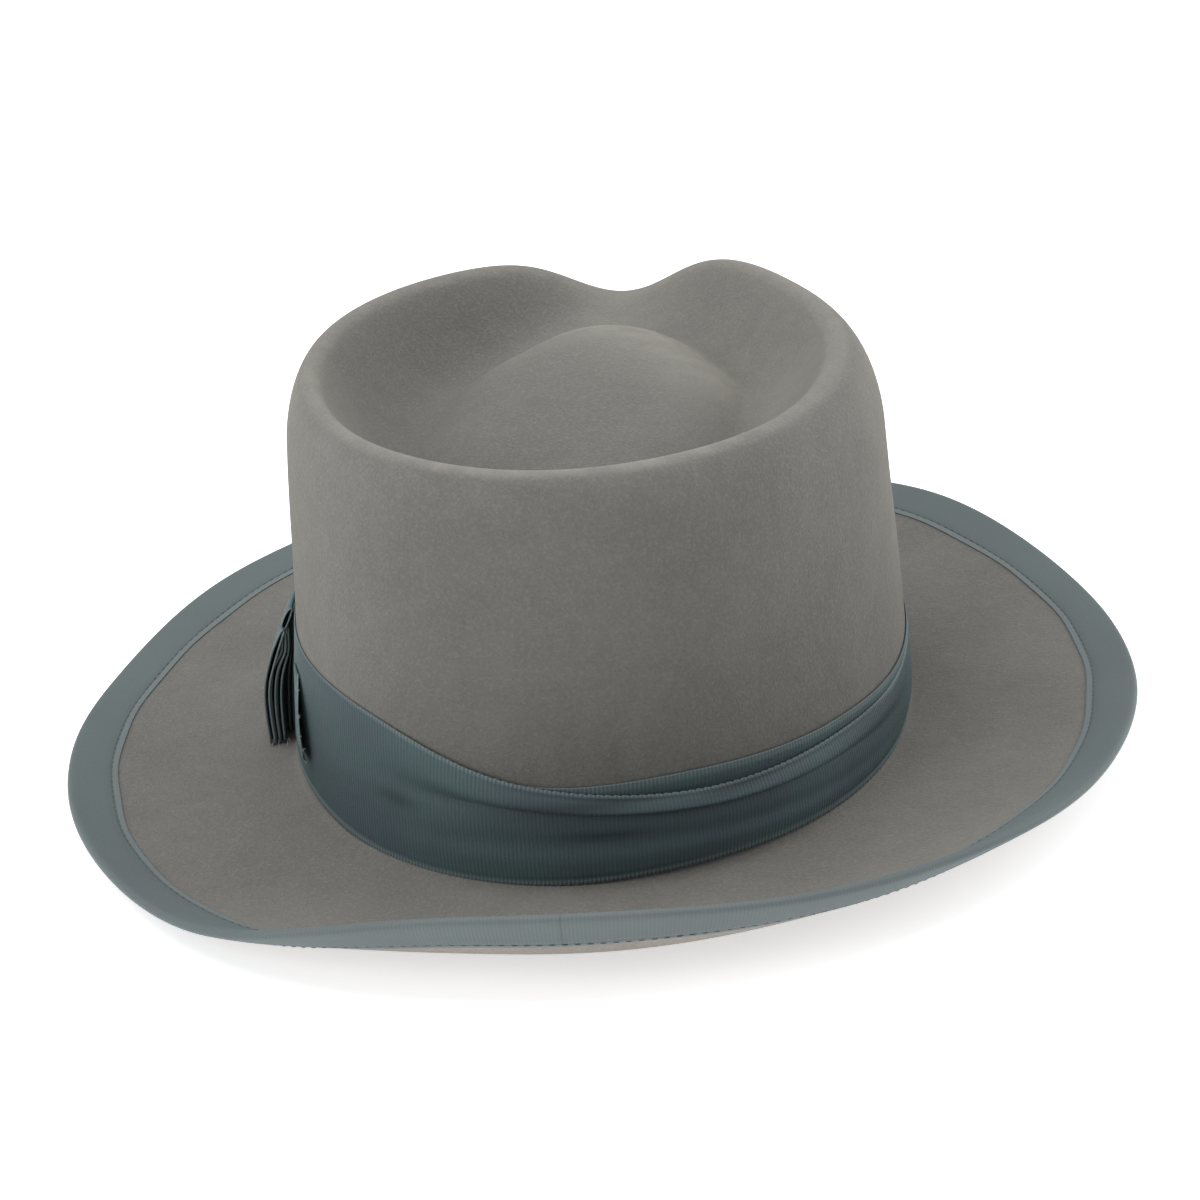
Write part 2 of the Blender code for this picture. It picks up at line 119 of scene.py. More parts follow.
# Pale marks on the felt, from 0 to 1: a line along the ridge that is strongest at the rear,
# partly wear and partly painted highlight, and painted light that grows towards the front
# right of the inner slope and of the island.
RIDGE_WEAR_AND_HIGHLIGHT = 0.55
RIDGE_LINE_DROP = 0.6 * MM
RIDGE_LINE_HALF_WIDTH = 1.2 * MM
RIDGE_LINE_TURN = math.radians(95)
RIDGE_LINE_HALF_ANGLE = 0.9
PAINTED_LIGHT_TOWARDS = (-0.6, -0.8)
SLOPE_PAINTED_LIGHT = 0.18
ISLAND_PAINTED_LIGHT = 0.3

# Ribbon: ribs run across it, with a smooth selvage along each edge.
RIB_STEPS = 3
RIB_RELIEF = 0.15 * MM
SELVAGE = 1.7 * MM
RIBBON = 0.4 * MM

# Binding around the brim's edge.
BINDING_WIDTH = 12.5 * MM
BINDING_UNDER_WIDTH = 9.5 * MM
BINDING_RIBS = 960
BINDING_RIB_STEPS = 2
BINDING_RELIEF = 0.06 * MM
BINDING_PLAY = 0.30 * MM
BINDING_PUFF = 0.2 * MM
BINDING_LIFT = 0.10 * MM
BINDING_THICKNESS = 0.22 * MM
BINDING_JOIN = math.radians(98.6)
BINDING_LAP = 0.3 * MM
# How much painted bounce light makes the binding paler towards its edge around the rear joint.
BINDING_PAINTED_LIGHT = 0.25
# Where the upper stitches pull the binding in, as a share of its width from its inner edge.
BINDING_SEAM = 0.16
BINDING_DENT = 0.12 * MM
BINDING_STITCHES = 300
JOINT_STITCH_PLACES = (0.93, 0.8, 0.67, 0.54)
STITCH_POINTS = 6
STITCH_ARCH = 0.16 * MM

# Hat band: the heights, in mm at every 30 degrees, of its lower edge, of the lower edge of
# the fold's crest, and of its upper edge, and how far the fold is open, from 0 to 1.
BAND_RIBS = 545
BAND_ROWS = 34
BAND_INNER_ROWS = 12
BAND_LOW = (2.6, 3.4, 0.4, 0.1, 1.9, 0.9, 1.2, 1.4, 1.6, 1.8, 1.8, 2.0)
BAND_CREST = (31, 31, 28.4, 22.9, 18.6, 15.8, 14.5, 20, 24, 27, 28, 29)
BAND_TOPS = (40, 42.5, 40.3, 29.2, 22.9, 21.6, 21.0, 31, 35, 37, 38, 39)
UNDER_BAND_TOPS = (37, 39, 37.5, 28.6, 28, 25.4, 23.4, 30, 33, 35, 36, 37)
FOLD_OPEN = (0.0, 0.0, 0.1, 0.9, 1.0, 0.7, 0.1, 0.0, 0.0, 0.0, 0.0, 0.0)
# Where the fold is closed: the band's distance from the wall and its belly, in mm.
BAND_OUT = 0.45
BAND_BELLY = 0.4
UNDER_BAND_FOOT = 6 * MM
UNDER_BAND_OUT = 0.15 * MM
UNDER_BAND_LEAN = 0.95 * MM
UNDER_BAND_LEAN_TURN = math.radians(135)
UNDER_BAND_PLACES = (0, 0.3, 0.5, 0.7, 0.8, 0.86, 0.9, 0.93, 0.96, 0.98, 1.0)
PICOT = 0.22 * MM
GROOVE = 0.08 * MM
# Marks on the band: turn in degrees, height in mm, half angle in degrees, half height in mm.
# The wrinkle shades and the shades are painted shade; the stains are the ribbon's own tones.
BAND_WRINKLE_SHADES = ((102, 23.5, 13, 1.6), (104, 14.5, 8, 1.3), (66, 19, 5, 2.0), (128, 21, 9, 1.2))
BAND_SHADES = ((172, 18, 16, 26), (28, 20, 22, 26))
BAND_STAINS = ((101, 18, 19, 8), (162, 20, 14, 16), (57, 34, 8, 5), (40, 14, 14, 7), (132, 12, 9, 6))
# Painted light: a paler patch on the band's lower middle at the rear.
BAND_PAINTED_LIGHT = ((112, 16, 60, 26),)
# The fold's section from the lower edge up: distance from the wall in mm, and height as a
# share of the way to the crest (up to 1) and from the crest to the upper edge (1 to 2).
FOLD_SECTION = ((1.0, 0.0), (1.5, 0.16), (2.1, 0.36), (1.8, 0.56), (2.2, 0.76), (1.9, 0.94),
                (1.3, 1.08), (1.8, 1.1), (3.0, 1.02), (3.6, 1.14), (3.0, 1.5), (1.6, 2.0))

# Bow: each ply's distance from the wall in mm at a list of heights in mm.  The three outer
# folds are doubled ribbons of two plies; the three inner ones are single and end earlier.
# Turns along the bow are in degrees.
BOW_FRONT_TURN = -19.0
BOW_REAR_TURN = 16.0
KNOT_TURNS = (-7.0, 1.0)
LOOP_TURNS = (8.5, 16.0)
BOW_HEIGHTS = (0.6, 8, 15, 20, 24, 28.7, 33.6, 35)
BOW_PLIES = (((1.7, 1.7, 1.7, 1.7, 1.6, 1.4, 1.4, 1.6),),
             ((2.6, 2.7, 2.7, 2.6, 2.3, 1.9, 1.9, 2.0),),
             ((3.5, 3.8, 3.8, 3.6, 3.1, 2.5, 2.4, 2.4),),
             ((4.6, 5.1, 5.3, 5.0, 4.2, 3.0, 3.0, 2.9), (5.2, 5.9, 6.1, 5.8, 5.0, 3.4, 3.4, 3.1)),
             ((5.8, 6.6, 6.9, 6.6, 5.8, 3.9, 3.8, 3.4), (6.4, 7.3, 7.7, 7.4, 6.6, 4.4, 4.2, 3.6)),
             ((7.1, 8.0, 8.5, 8.2, 7.3, 6.0, 4.5, 4.0), (7.9, 8.8, 9.3, 9.0, 8.2, 7.0, 5.1, 4.3)))
BOW_PLY = 0.55 * MM
# The crosspiece's path below and above the folds, as distances from the wall and heights in
# mm, and its gap from the outer fold in mm.
KNOT_FOOT = ((3.4, -0.3), (7.8, -0.3))
KNOT_HEAD = ((5.0, 35.9), (3.2, 35.9))
KNOT_GAP = 0.9
KNOT_CROWN = 0.25 * MM
# The loop's section at its rear end: distance from the wall and height, in mm.
LOOP_SECTION = ((3.9, 35.6), (4.5, 36.6), (4.0, 38.6), (3.0, 40.7), (1.9, 41.9), (1.3, 41.4),
                (1.8, 39.5), (2.5, 37.6), (3.2, 36.2), (3.6, 35.8))
# The band's loose end: the turn where it leaves the band and its distance from the wall
# there, in mm; then heights in mm, and there its free edge's turn and its lift in mm.
FLAP_ROOT = 27
FLAP_OUT = 1.35
FLAP_HEIGHTS = (12.0, 14.5, 22.0, 27.0, 31.0, 34.0)
FLAP_TURNS = (36.8, 38.0, 37.4, 36.3, 34.3, 31.5)
FLAP_LIFTS = (0.9, 2.2, 2.5, 2.2, 1.1, 0.05)
FLAP_CURL = 1.6
FRAY_SEED = 7
FLAP_FRAYS = 24
FLAP_FRAY_RADIUS = 0.07 * MM
BOW_FRAYS = 36
BOW_FRAY_RADIUS = 0.08 * MM
FRAY_POINTS = 6
FRAY_SIDES = 5

# Inside: insets are measured inwards from the crown's outer wall.
SWEATBAND_INSET = 3.1 * MM
LEATHER_THICKNESS = 1.1 * MM
REED_RADIUS = 0.7 * MM
REED_HEIGHT = -0.7 * MM
REED_INSET = 2.0 * MM
REED_SIDES = 10
TAPE_FOOT = 0.6 * MM
TAPE_WIDTH = 4.4 * MM
TAPE_INSET = 2.2 * MM
TAPE_THICKNESS = 0.4 * MM
SWEATBAND_STITCHES = 190
SWEATBAND_STITCH_HEIGHT = 2.8 * MM
SWEATBAND_STITCH_INSET = 4.45 * MM
SWEATBAND_STITCH_ARCH = 0.3 * MM
REAR_BOW_HALF_ANGLE = math.radians(5.2)
REAR_BOW_DROP = 9 * MM
REAR_BOW_INSET = 4.7 * MM
TAG_TURN = math.radians(112)
TAG_HALF_WIDTH = 8 * MM
TAG_DROP = 12 * MM
TAG_HEIGHT = 10 * MM
TAG_INSET = 4.75 * MM
TAG_THICKNESS = 0.25 * MM
LINING_TURNS = 720
LINING_INSET = 2.3 * MM
LINING_FOOT = 34 * MM
LINING_THICKNESS = 0.25 * MM
LINING_PLEATS = 72
PLEAT_DEPTH = 0.8 * MM

# Camera, measured from the centre of the break, and the studio's lights: each one's name,
# place in metres and power in watts.
CAMERA_AIM = np.array([-1.7, 5.5, 37.4]) * MM
CAMERA_DISTANCE = 0.91235
CAMERA_TURN = math.radians(103.411)
CAMERA_ELEVATION = math.radians(23.848)
CAMERA_ROLL = math.radians(3.672)
CAMERA_LENS = 97.46
WORLD_STRENGTH = 0.45
FLOOR_HALF_WIDTH = 4.0
FLOOR_GAP = 0.05 * MM
FLOOR_GLOW = 0.5
LIGHT_SIZE = 1.0
LIGHT_AIM = (0, 0, 0.06)
LIGHTS = (("top", (0, 0, 1.6), 14), ("top_left", (0.9, 0, 1.35), 9), ("right", (-1.5, -0.4, 0.7), 9),
          ("rear_left", (1.2, 1.1, 0.8), 11.5), ("front_right", (-1.1, -1.1, 0.9), 8))


# ---------------------------------- shape of the hat

def around(values, turn):
    """Smooth values at any turns, through values spaced evenly around the hat."""
    values = np.asarray(values, float)
    count = len(values)
    place = (turn / TAU % 1.0) * count
    index = np.floor(place).astype(int)
    part = place - index
    a, b, c, d = (values[(index + k) % count] for k in (-1, 0, 1, 2))
    bend = 2 * a - 5 * b + 4 * c - d + part * (3 * (b - c) + d - a)
    return b + 0.5 * part * (c - a + part * bend)


def turn_gap(turn, other):
    """The signed angle from `other` to `turn`, at most half a turn."""
    return (turn - other + math.pi) % TAU - math.pi


def hump(distance, half_width):
    """A smooth bump: 1 at no distance, and falling off past the half width."""
    return np.exp(-(distance / half_width) ** 2)


def rise(value, low, high):
    """0 below `low`, 1 above `high`, and a smooth step between."""
    part = np.clip((value - low) / (high - low), 0.0, 1.0)
    return part * part * (3 - 2 * part)


def pinch(turn, height):
    """How far the wall is pushed in at the two sides of the crown's front."""
    sides = sum(hump(turn_gap(turn, side), PINCH_HALF_ANGLE) for side in PINCH_TURNS)
    return PINCH_DEPTH * sides * hump(height - PINCH_HEIGHT, PINCH_HALF_HEIGHT)


def wall(turn, height, out=0.0):
    """Points on the crown's outer wall, moved outwards by `out`."""
    turn, height, out = np.broadcast_arrays(turn, height, out)
    lean = around(WALL_LEANS, turn) * height
    half_width = WALL_HALF_WIDTH - lean
    half_length = WALL_HALF_LENGTH - lean
    across = half_length * np.cos(turn)
    back = half_width * np.sin(turn)
    size = np.hypot(across, back)
    uneven = sum(depth * np.sin(waves * turn + climb * height + start)
                 for depth, waves, climb, start in WALL_WAVES)
    swell = SWELL_DEPTH * hump(turn_gap(turn, SWELL_TURN), SWELL_HALF_ANGLE) * rise(height, 0, 8 * MM)
    swell = swell * hump(height, SWELL_HEIGHT)
    push = (out + uneven + swell - pinch(turn, height)) / size
    return np.stack([half_width * np.cos(turn) + across * push,
                     half_length * np.sin(turn) + back * push, height], axis=-1)


def brim(turn, along, lift=0.0):
    """Points on the brim's upper face, `along` from the break, raised along its normal."""
    turn, along, lift = np.broadcast_arrays(turn, along, lift)
    start = around(BREAK_SLOPES, turn)
    edge = around(EDGE_SLOPES, turn)
    step = along / SLOPE_STEPS
    reach = np.full(turn.shape, BREAK_RADIUS)
    height = np.zeros(turn.shape)
    for k in range(SLOPE_STEPS):
        part = np.minimum((k + 0.5) * step / BRIM_WIDTH, 1.0)
        slope = np.radians(start + (edge - start) * part ** CURL_POWER)
        reach = reach + step * np.cos(slope)
        height = height + step * np.sin(slope)
    part = np.minimum(along / BRIM_WIDTH, 1.0)
    slope = np.radians(start + (edge - start) * part ** CURL_POWER)
    depth, waves, spread = BRIM_WAVE
    height = height + part ** 2 * depth * np.sin(waves * turn + spread * along)
    foot = wall(turn, 0.0, reach - lift * np.sin(slope))
    foot[..., 2] = height + lift * np.cos(slope)
    return foot


def ridge_height(turn):
    """The height of the crown's rim, with its notch at the front."""
    notch = NOTCH_DEPTH * hump(turn_gap(turn, NOTCH_TURN), NOTCH_HALF_ANGLE)
    return around(RIDGE_HEIGHTS, turn) * MM - notch


def inner_fall(part):
    """The share of the fall from the ridge to the trough, level at the trough."""
    return part * part * (6 - 8 * part + 3 * part * part)


def trough_level(turn):
    """The height of the crease around the island, which rises at the front."""
    front = TROUGH_FRONT_RISE * hump(turn_gap(turn, NOTCH_TURN), TROUGH_FRONT_HALF_ANGLE)
    return around(TROUGH_HEIGHTS, turn) * MM + front


def island_level(back):
    """The height of the island's top, which rises towards the front."""
    return ISLAND_HEIGHT - ISLAND_RISE_TO_FRONT * back


def crown(turn):
    """Rows of the crown's outer surface at each turn, from the foot of its wall inwards."""
    turn = turn[:, None]
    drop = around(SHOULDER_DROPS, turn) * MM
    shoulder = ridge_height(turn) - drop
    climb = np.linspace(0, 1, WALL_ROWS)[None]
    rows = [wall(turn, BREAK_RADIUS + climb * (shoulder - BREAK_RADIUS))]
    angle = np.radians(np.linspace(0, 90, SHOULDER_ROWS + 1)[1:])[None]
    inset = around(RIDGE_INSETS, turn) * MM * (1 - np.cos(angle))
    rows.append(wall(turn, shoulder + drop * np.sin(angle), -inset))
    ridge = rows[-1][:, -1:]
    crease = trough_level(turn)
    trough = wall(turn, crease) * around(TROUGH_REACHES, turn)[..., None] + [*ISLAND_SHIFT, 0]
    trough[..., 2] = crease
    part = np.linspace(0, 1, SLOPE_ROWS + 1)[1:][None, :, None]
    slide = ridge + (trough - ridge) * part
    slide[..., 2] = (ridge + (trough - ridge) * inner_fall(part))[..., 2]
    rows.append(slide)
    part = np.linspace(1, 0, ISLAND_ROWS + 2)[1:-1][None, :, None]
    centre = np.array([*ISLAND_SHIFT, 0.0])
    dome = centre + (trough - centre) * part
    share = (1 - part[..., 0] ** ISLAND_FULLNESS) ** ISLAND_ROUNDING
    dome[..., 2] = crease * (1 - share) + island_level(dome[..., 1]) * share
    rows.append(dome)
    return np.concatenate(rows, axis=1)


def crown_centre():
    """The point at the middle of the island, where the felt's columns meet."""
    return np.array([*ISLAND_SHIFT, island_level(ISLAND_SHIFT[1])])


def even_turns(count, reach):
    """Turns spaced evenly along the oval that runs `reach` outside the wall's foot."""
    fine = np.linspace(0, TAU, 4001)
    line = wall(fine, 0.0, reach)
    length = np.concatenate([[0], np.cumsum(np.linalg.norm(np.diff(line, axis=0), axis=1))])
    return np.interp(np.arange(count) * length[-1] / count, length, fine)


def smooth_path(points, places):
    """Points along a smooth curve through evenly numbered points, at places from 0 to 1."""
    points = np.asarray(points, float)
    padded = np.concatenate([2 * points[:1] - points[1:2], points, 2 * points[-1:] - points[-2:-1]])
    place = np.clip(places, 0, 1) * (len(points) - 1)
    index = np.minimum(np.floor(place).astype(int), len(points) - 2)
    part = (place - index)[:, None]
    a, b, c, d = (padded[index + k] for k in range(4))
    bend = 2 * a - 5 * b + 4 * c - d + part * (3 * (b - c) + d - a)
    return b + 0.5 * part * (c - a + part * bend)


# ---------------------------------- meshes

sweatband_low, sweatband_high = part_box("sweatband")
BREAK_CENTRE = np.array([(sweatband_low.x + sweatband_high.x) / 2,
                         (sweatband_low.y + sweatband_high.y) / 2,
                         sweatband_low.z - SWEATBAND_FOOT])


def lie(name, vertices, faces, materials, marks=None):
    """A smooth mesh piece in the CAD's frame, with its marks as point attributes."""
    mesh = bpy.data.meshes.new(name)
    mesh.from_pydata((np.asarray(vertices) + BREAK_CENTRE).tolist(), [], faces)
    for mark, values in (marks or {}).items():
        layer = mesh.attributes.new(mark, "FLOAT", "POINT")
        layer.data.foreach_set("value", np.asarray(values, np.float32).ravel())
    for material in materials:
        mesh.materials.append(material)
    mesh.shade_smooth()
    piece = bpy.data.objects.new(name, mesh)
    bpy.context.scene.collection.objects.link(piece)
    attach(piece, "root")
    return piece


def quads(columns, rows, wrap_columns=False, wrap_rows=False):
    """Faces between neighbours of a lattice whose vertices are numbered column by column."""
    i = np.arange(columns if wrap_columns else columns - 1)[:, None]
    j = np.arange(rows if wrap_rows else rows - 1)[None]
    after_i = (i + 1) % columns
    after_j = (j + 1) % rows
    corners = [i * rows + j, after_i * rows + j, after_i * rows + after_j, i * rows + after_j]
    return np.stack(corners, axis=-1).reshape(-1, 4).tolist()


def outward(points, wrap):
    """Unit normals of a lattice of points, whose columns go around and rows go up."""
    if wrap:
        around_step = np.roll(points, -1, axis=0) - np.roll(points, 1, axis=0)
    else:
        around_step = np.gradient(points, axis=0)
    normal = np.cross(around_step, np.gradient(points, axis=1))
    return normal / np.maximum(np.linalg.norm(normal, axis=-1, keepdims=True), 1e-12)


def shell(name, points, materials, thickness, marks=None, wrap=True, hub=None):
    """An open surface with a thickness on its inner side."""
    columns, rows = points.shape[:2]
    vertices = points.reshape(-1, 3)
    faces = quads(columns, rows, wrap_columns=wrap)
    marks = {mark: np.broadcast_to(value, (columns, rows)).ravel()
             for mark, value in (marks or {}).items()}
    if hub is not None:
        last = np.arange(columns) * rows + rows - 1
        faces += [[int(a), int(b), columns * rows] for a, b in zip(last, np.roll(last, -1))]
        vertices = np.vstack([vertices, hub])
        marks = {mark: np.append(value, value[rows - 1]) for mark, value in marks.items()}
    piece = lie(name, vertices, faces, materials, marks)
    solidify = piece.modifiers.new("thickness", "SOLIDIFY")
    solidify.thickness = thickness
    solidify.offset = -1.0
    return piece


def ring(name, outer, inner, materials, marks):
    """A closed band around the hat between a fine outer and a coarse inner surface."""
    points = np.concatenate([outer, inner[:, ::-1]], axis=1)
    columns, rows = points.shape[:2]
    full = {}
    for mark, value in marks.items():
        value = np.broadcast_to(value, outer.shape[:2])
        full[mark] = np.concatenate([value, np.zeros(inner.shape[:2])], axis=1)
    return lie(name, points.reshape(-1, 3), quads(columns, rows, True, True), materials, full)


def tubes(name, lines, radius, sides, materials):
    """Round threads along lines that all have the same number of points."""
    lines = np.asarray(lines, float)
    count, length = lines.shape[:2]
    tangent = np.gradient(lines, axis=1)
    tangent /= np.linalg.norm(tangent, axis=-1, keepdims=True)
    side = np.cross(tangent, [0.13, 0.21, 0.97])
    side /= np.linalg.norm(side, axis=-1, keepdims=True)
    up = np.cross(side, tangent)
    turns = np.arange(sides) * TAU / sides
    taper = np.ones(length)
    taper[[0, -1]] = 0.35
    ringed = (lines[:, :, None] + radius * taper[None, :, None, None]
              * (side[:, :, None] * np.cos(turns)[:, None] + up[:, :, None] * np.sin(turns)[:, None]))
    faces = []
    body = np.array(quads(length, sides, wrap_rows=True))
    first = list(range(sides))
    last = [(length - 1) * sides + k for k in reversed(range(sides))]
    for k in range(count):
        start = k * length * sides
        faces += (body + start).tolist()
        faces += [[start + v for v in first], [start + v for v in last]]
    return lie(name, ringed.reshape(-1, 3), faces, materials)


def rib_heights(columns, per_rib):
    """The height of the ribs at each column, from 0 in a valley to 1 on a crest."""
    phase = np.arange(columns) % per_rib / per_rib
    return 0.5 + 0.5 * np.cos(TAU * phase)


# ---------------------------------- materials

class Finish:
    """A procedural material, with a short call for each kind of node it uses."""

    def __init__(self, name, roughness, **fixed):
        """Starts a material; `fixed` holds constant socket values, with _ for a space."""
        self.material = bpy.data.materials.new(name)
        self.material.use_nodes = True
        self.tree = self.material.node_tree
        self.surface = self.tree.nodes["Principled BSDF"]
        self.surface.inputs["Roughness"].default_value = roughness
        for socket, value in fixed.items():
            self.surface.inputs[socket.replace("_", " ")].default_value = value
        self.place = self.add("ShaderNodeTexCoord").outputs["Object"]

    def add(self, kind, inputs=None, **settings):
        """A new node, with its inputs linked or set."""
        node = self.tree.nodes.new(kind)
        for name, value in settings.items():
            setattr(node, name, value)
        for socket, value in (inputs or {}).items():
            if isinstance(value, bpy.types.NodeSocket):
                self.tree.links.new(value, node.inputs[socket])
            else:
                node.inputs[socket].default_value = value
        return node

    def noise(self, scale, detail, stretch=None):
        """Noise in object space, from 0 to 1, with `scale` features to a metre."""
        place = self.place
        if stretch:
            place = self.add("ShaderNodeMapping", {"Vector": place, "Scale": stretch}).outputs[0]
        inputs = {"Vector": place, "Scale": scale, "Detail": detail}
        return self.add("ShaderNodeTexNoise", inputs).outputs[0]

    def mark(self, name):
        """The value of one of the mesh's marks."""
        return self.add("ShaderNodeAttribute", attribute_name=name).outputs["Fac"]

    def ramp(self, value, low, high, floor=0.0, ceiling=1.0):
        """A value mapped from `low`..`high` to `floor`..`ceiling`, and held there outside."""
        inputs = {"Value": value, "From Min": low, "From Max": high,
                  "To Min": floor, "To Max": ceiling}
        return self.add("ShaderNodeMapRange", inputs).outputs[0]

    def sum(self, first, second, operation="ADD"):
        """Two values added, or joined by another operation."""
        return self.add("ShaderNodeMath", {0: first, 1: second}, operation=operation).outputs[0]

    def blend(self, part, first, second):
        """A mix of two colours, with `part` of the second."""
        colours = [(*c, 1.0) if isinstance(c, tuple) else c for c in (first, second)]
        return self.add("ShaderNodeMix", {0: part, 6: colours[0], 7: colours[1]},
                        data_type="RGBA").outputs[2]

    def bump(self, height, distance, normal=None):
        """A normal for a relief of the given height in metres, on top of another normal."""
        inputs = {"Height": height, "Distance": distance}
        if normal:
            inputs["Normal"] = normal
        return self.add("ShaderNodeBump", inputs).outputs[0]

    def done(self, colour, normal=None, roughness=None):
        """Links the finished values to the surface and gives the material."""
        links = {"Base Color": colour, "Normal": normal, "Roughness": roughness}
        for socket, value in links.items():
            if value:
                self.tree.links.new(value, self.surface.inputs[socket])
        return self.material


def felt_finish(name, dark, light, pale_tone):
    """Short-napped fur felt: blotches, mottling, fine fibres, a pale tone for rubbing and painted light.
    """
    felt = Finish(name, 0.95, Sheen_Weight=0.25, Sheen_Roughness=0.45,
                  Sheen_Tint=(0.68, 0.62, 0.53, 1.0), Specular_IOR_Level=0.2)
    blotch = felt.noise(16, 3)
    mottle = felt.noise(140, 5)
    speck = felt.noise(1100, 3)
    fibre = felt.noise(2600, 2)
    colour = felt.blend(felt.ramp(blotch, 0.35, 0.65), dark, light)
    colour = felt.blend(felt.ramp(mottle, 0.3, 0.7, 0.0, 0.22), colour, tuple(0.72 * c for c in dark))
    colour = felt.blend(felt.ramp(speck, 0.45, 0.72, 0.0, 0.3), colour, tuple(1.5 * c for c in light))
    colour = felt.blend(felt.ramp(fibre, 0.5, 0.3, 0.0, 0.35), colour, tuple(0.6 * c for c in dark))
    # The mark brings in the pale tone: wear and painted highlight on the ridge, painted light inside.
    wear_and_highlight = felt.sum(felt.mark("wear_and_highlight"), felt.ramp(mottle, 0.3, 0.65, 0.35, 1.0), "MULTIPLY")
    colour = felt.blend(wear_and_highlight, colour, pale_tone)
    relief = felt.sum(speck, fibre)
    normal = felt.bump(relief, 0.16 * MM, felt.bump(mottle, 0.35 * MM))
    return felt.done(colour, normal)


def ribbon_finish(name, valley, crest, selvage, patch):
    """Grosgrain: lighter rib crests, woven threads, and paler selvages."""
    ribbon = Finish(name, 0.62, Sheen_Weight=0.15, Sheen_Roughness=0.4,
                    Sheen_Tint=(0.5, 0.62, 0.66, 1.0), Specular_IOR_Level=0.35)
    colour = ribbon.blend(ribbon.mark("rib"), valley, crest)
    thread = ribbon.noise(2400, 2)
    colour = ribbon.blend(ribbon.ramp(thread, 0.4, 0.65, 0.0, 0.35), colour, crest)
    colour = ribbon.blend(ribbon.ramp(ribbon.noise(34, 3), 0.42, 0.68, 0.0, 0.55), colour, patch)
    colour = ribbon.blend(ribbon.mark("stain"), colour, patch)
    # The edge mark gives the selvage's colour, and on the binding and band also painted light.
    colour = ribbon.blend(ribbon.mark("edge"), colour, selvage)
    # The dark mark is painted shade, with the binding's dark joint.
    colour = ribbon.blend(ribbon.mark("dark"), colour, tuple(0.35 * c for c in valley))
    normal = ribbon.bump(thread, 0.1 * MM)
    return ribbon.done(colour, normal)


def thread_finish(name, dark, light):
    """Sewing thread with a fine twist."""
    thread = Finish(name, 0.7, Sheen_Weight=0.2)
    twist = thread.noise(3000, 2)
    colour = thread.blend(thread.ramp(twist, 0.35, 0.65), dark, light)
    return thread.done(colour, thread.bump(twist, 0.05 * MM))


def leather_finish():
    """Smooth tan leather with a fine grain and darker handling stains."""
    leather = Finish("leather", 0.5, Specular_IOR_Level=0.4)
    cells = leather.add("ShaderNodeTexVoronoi", {"Vector": leather.place, "Scale": 900.0},
                        feature="DISTANCE_TO_EDGE").outputs[0]
    stain = leather.noise(30, 4)
    colour = leather.blend(leather.ramp(stain, 0.35, 0.7), (0.23, 0.115, 0.055), (0.32, 0.18, 0.095))
    colour = leather.blend(leather.ramp(cells, 0.0, 0.12, 0.35, 0.0), colour, (0.12, 0.06, 0.03))
    normal = leather.bump(leather.ramp(cells, 0.0, 0.2), 0.06 * MM, leather.bump(stain, 0.4 * MM))
    return leather.done(colour, normal, leather.ramp(stain, 0.3, 0.7, 0.42, 0.6))


def satin_finish():
    """Satin lining: long warp threads with a soft lustre."""
    satin = Finish("satin", 0.34, Sheen_Weight=0.3, Sheen_Roughness=0.3, Anisotropic=0.4)
    warp = satin.noise(700, 2, stretch=(1.0, 1.0, 0.15))
    weave = satin.noise(2800, 1)
    colour = satin.blend(satin.ramp(warp, 0.3, 0.7), (0.36, 0.32, 0.26), (0.47, 0.43, 0.36))
    colour = satin.blend(satin.ramp(satin.noise(25, 3), 0.4, 0.7, 0.0, 0.4), colour, (0.30, 0.26, 0.20))
    return satin.done(colour, satin.bump(weave, 0.05 * MM, satin.bump(warp, 0.08 * MM)))


def plain_weave_finish(name, dark, light, roughness):
    """A fine even weave or grain in two tones."""
    cloth = Finish(name, roughness)
    weave = cloth.noise(1800, 2)
    colour = cloth.blend(cloth.ramp(weave, 0.35, 0.65), dark, light)
    return cloth.done(colour, cloth.bump(weave, 0.08 * MM))


FELT = felt_finish("felt", (0.110, 0.109, 0.101), (0.141, 0.139, 0.129), (0.30, 0.287, 0.255))
# The inner faces' felt is the same felt about twice as pale: painted bounce light from the floor.
FELT_LIT_UNDERSIDE = felt_finish("felt_lit_underside", (0.215, 0.197, 0.183), (0.262, 0.242, 0.226), (0.30, 0.285, 0.25))
BINDING = ribbon_finish("binding", (0.074, 0.095, 0.096), (0.098, 0.120, 0.121), (0.15, 0.175, 0.176),
                        (0.078, 0.094, 0.102))
BAND = ribbon_finish("band", (0.024, 0.048, 0.051), (0.057, 0.100, 0.102), (0.15, 0.182, 0.184),
                     (0.034, 0.044, 0.064))
DARK_THREAD = thread_finish("dark_thread", (0.02, 0.03, 0.035), (0.05, 0.07, 0.08))
TRIM_THREAD = thread_finish("trim_thread", (0.10, 0.13, 0.135), (0.17, 0.20, 0.21))
PALE_THREAD = thread_finish("pale_thread", (0.16, 0.19, 0.21), (0.30, 0.33, 0.35))
LEATHER = leather_finish()
SATIN = satin_finish()
REED = plain_weave_finish("reed", (0.5, 0.5, 0.46), (0.62, 0.62, 0.58), 0.4)
TAPE = plain_weave_finish("tape", (0.07, 0.07, 0.07), (0.14, 0.14, 0.14), 0.85)
CARD = plain_weave_finish("card", (0.62, 0.59, 0.5), (0.74, 0.71, 0.62), 0.9)


# ---------------------------------- felt

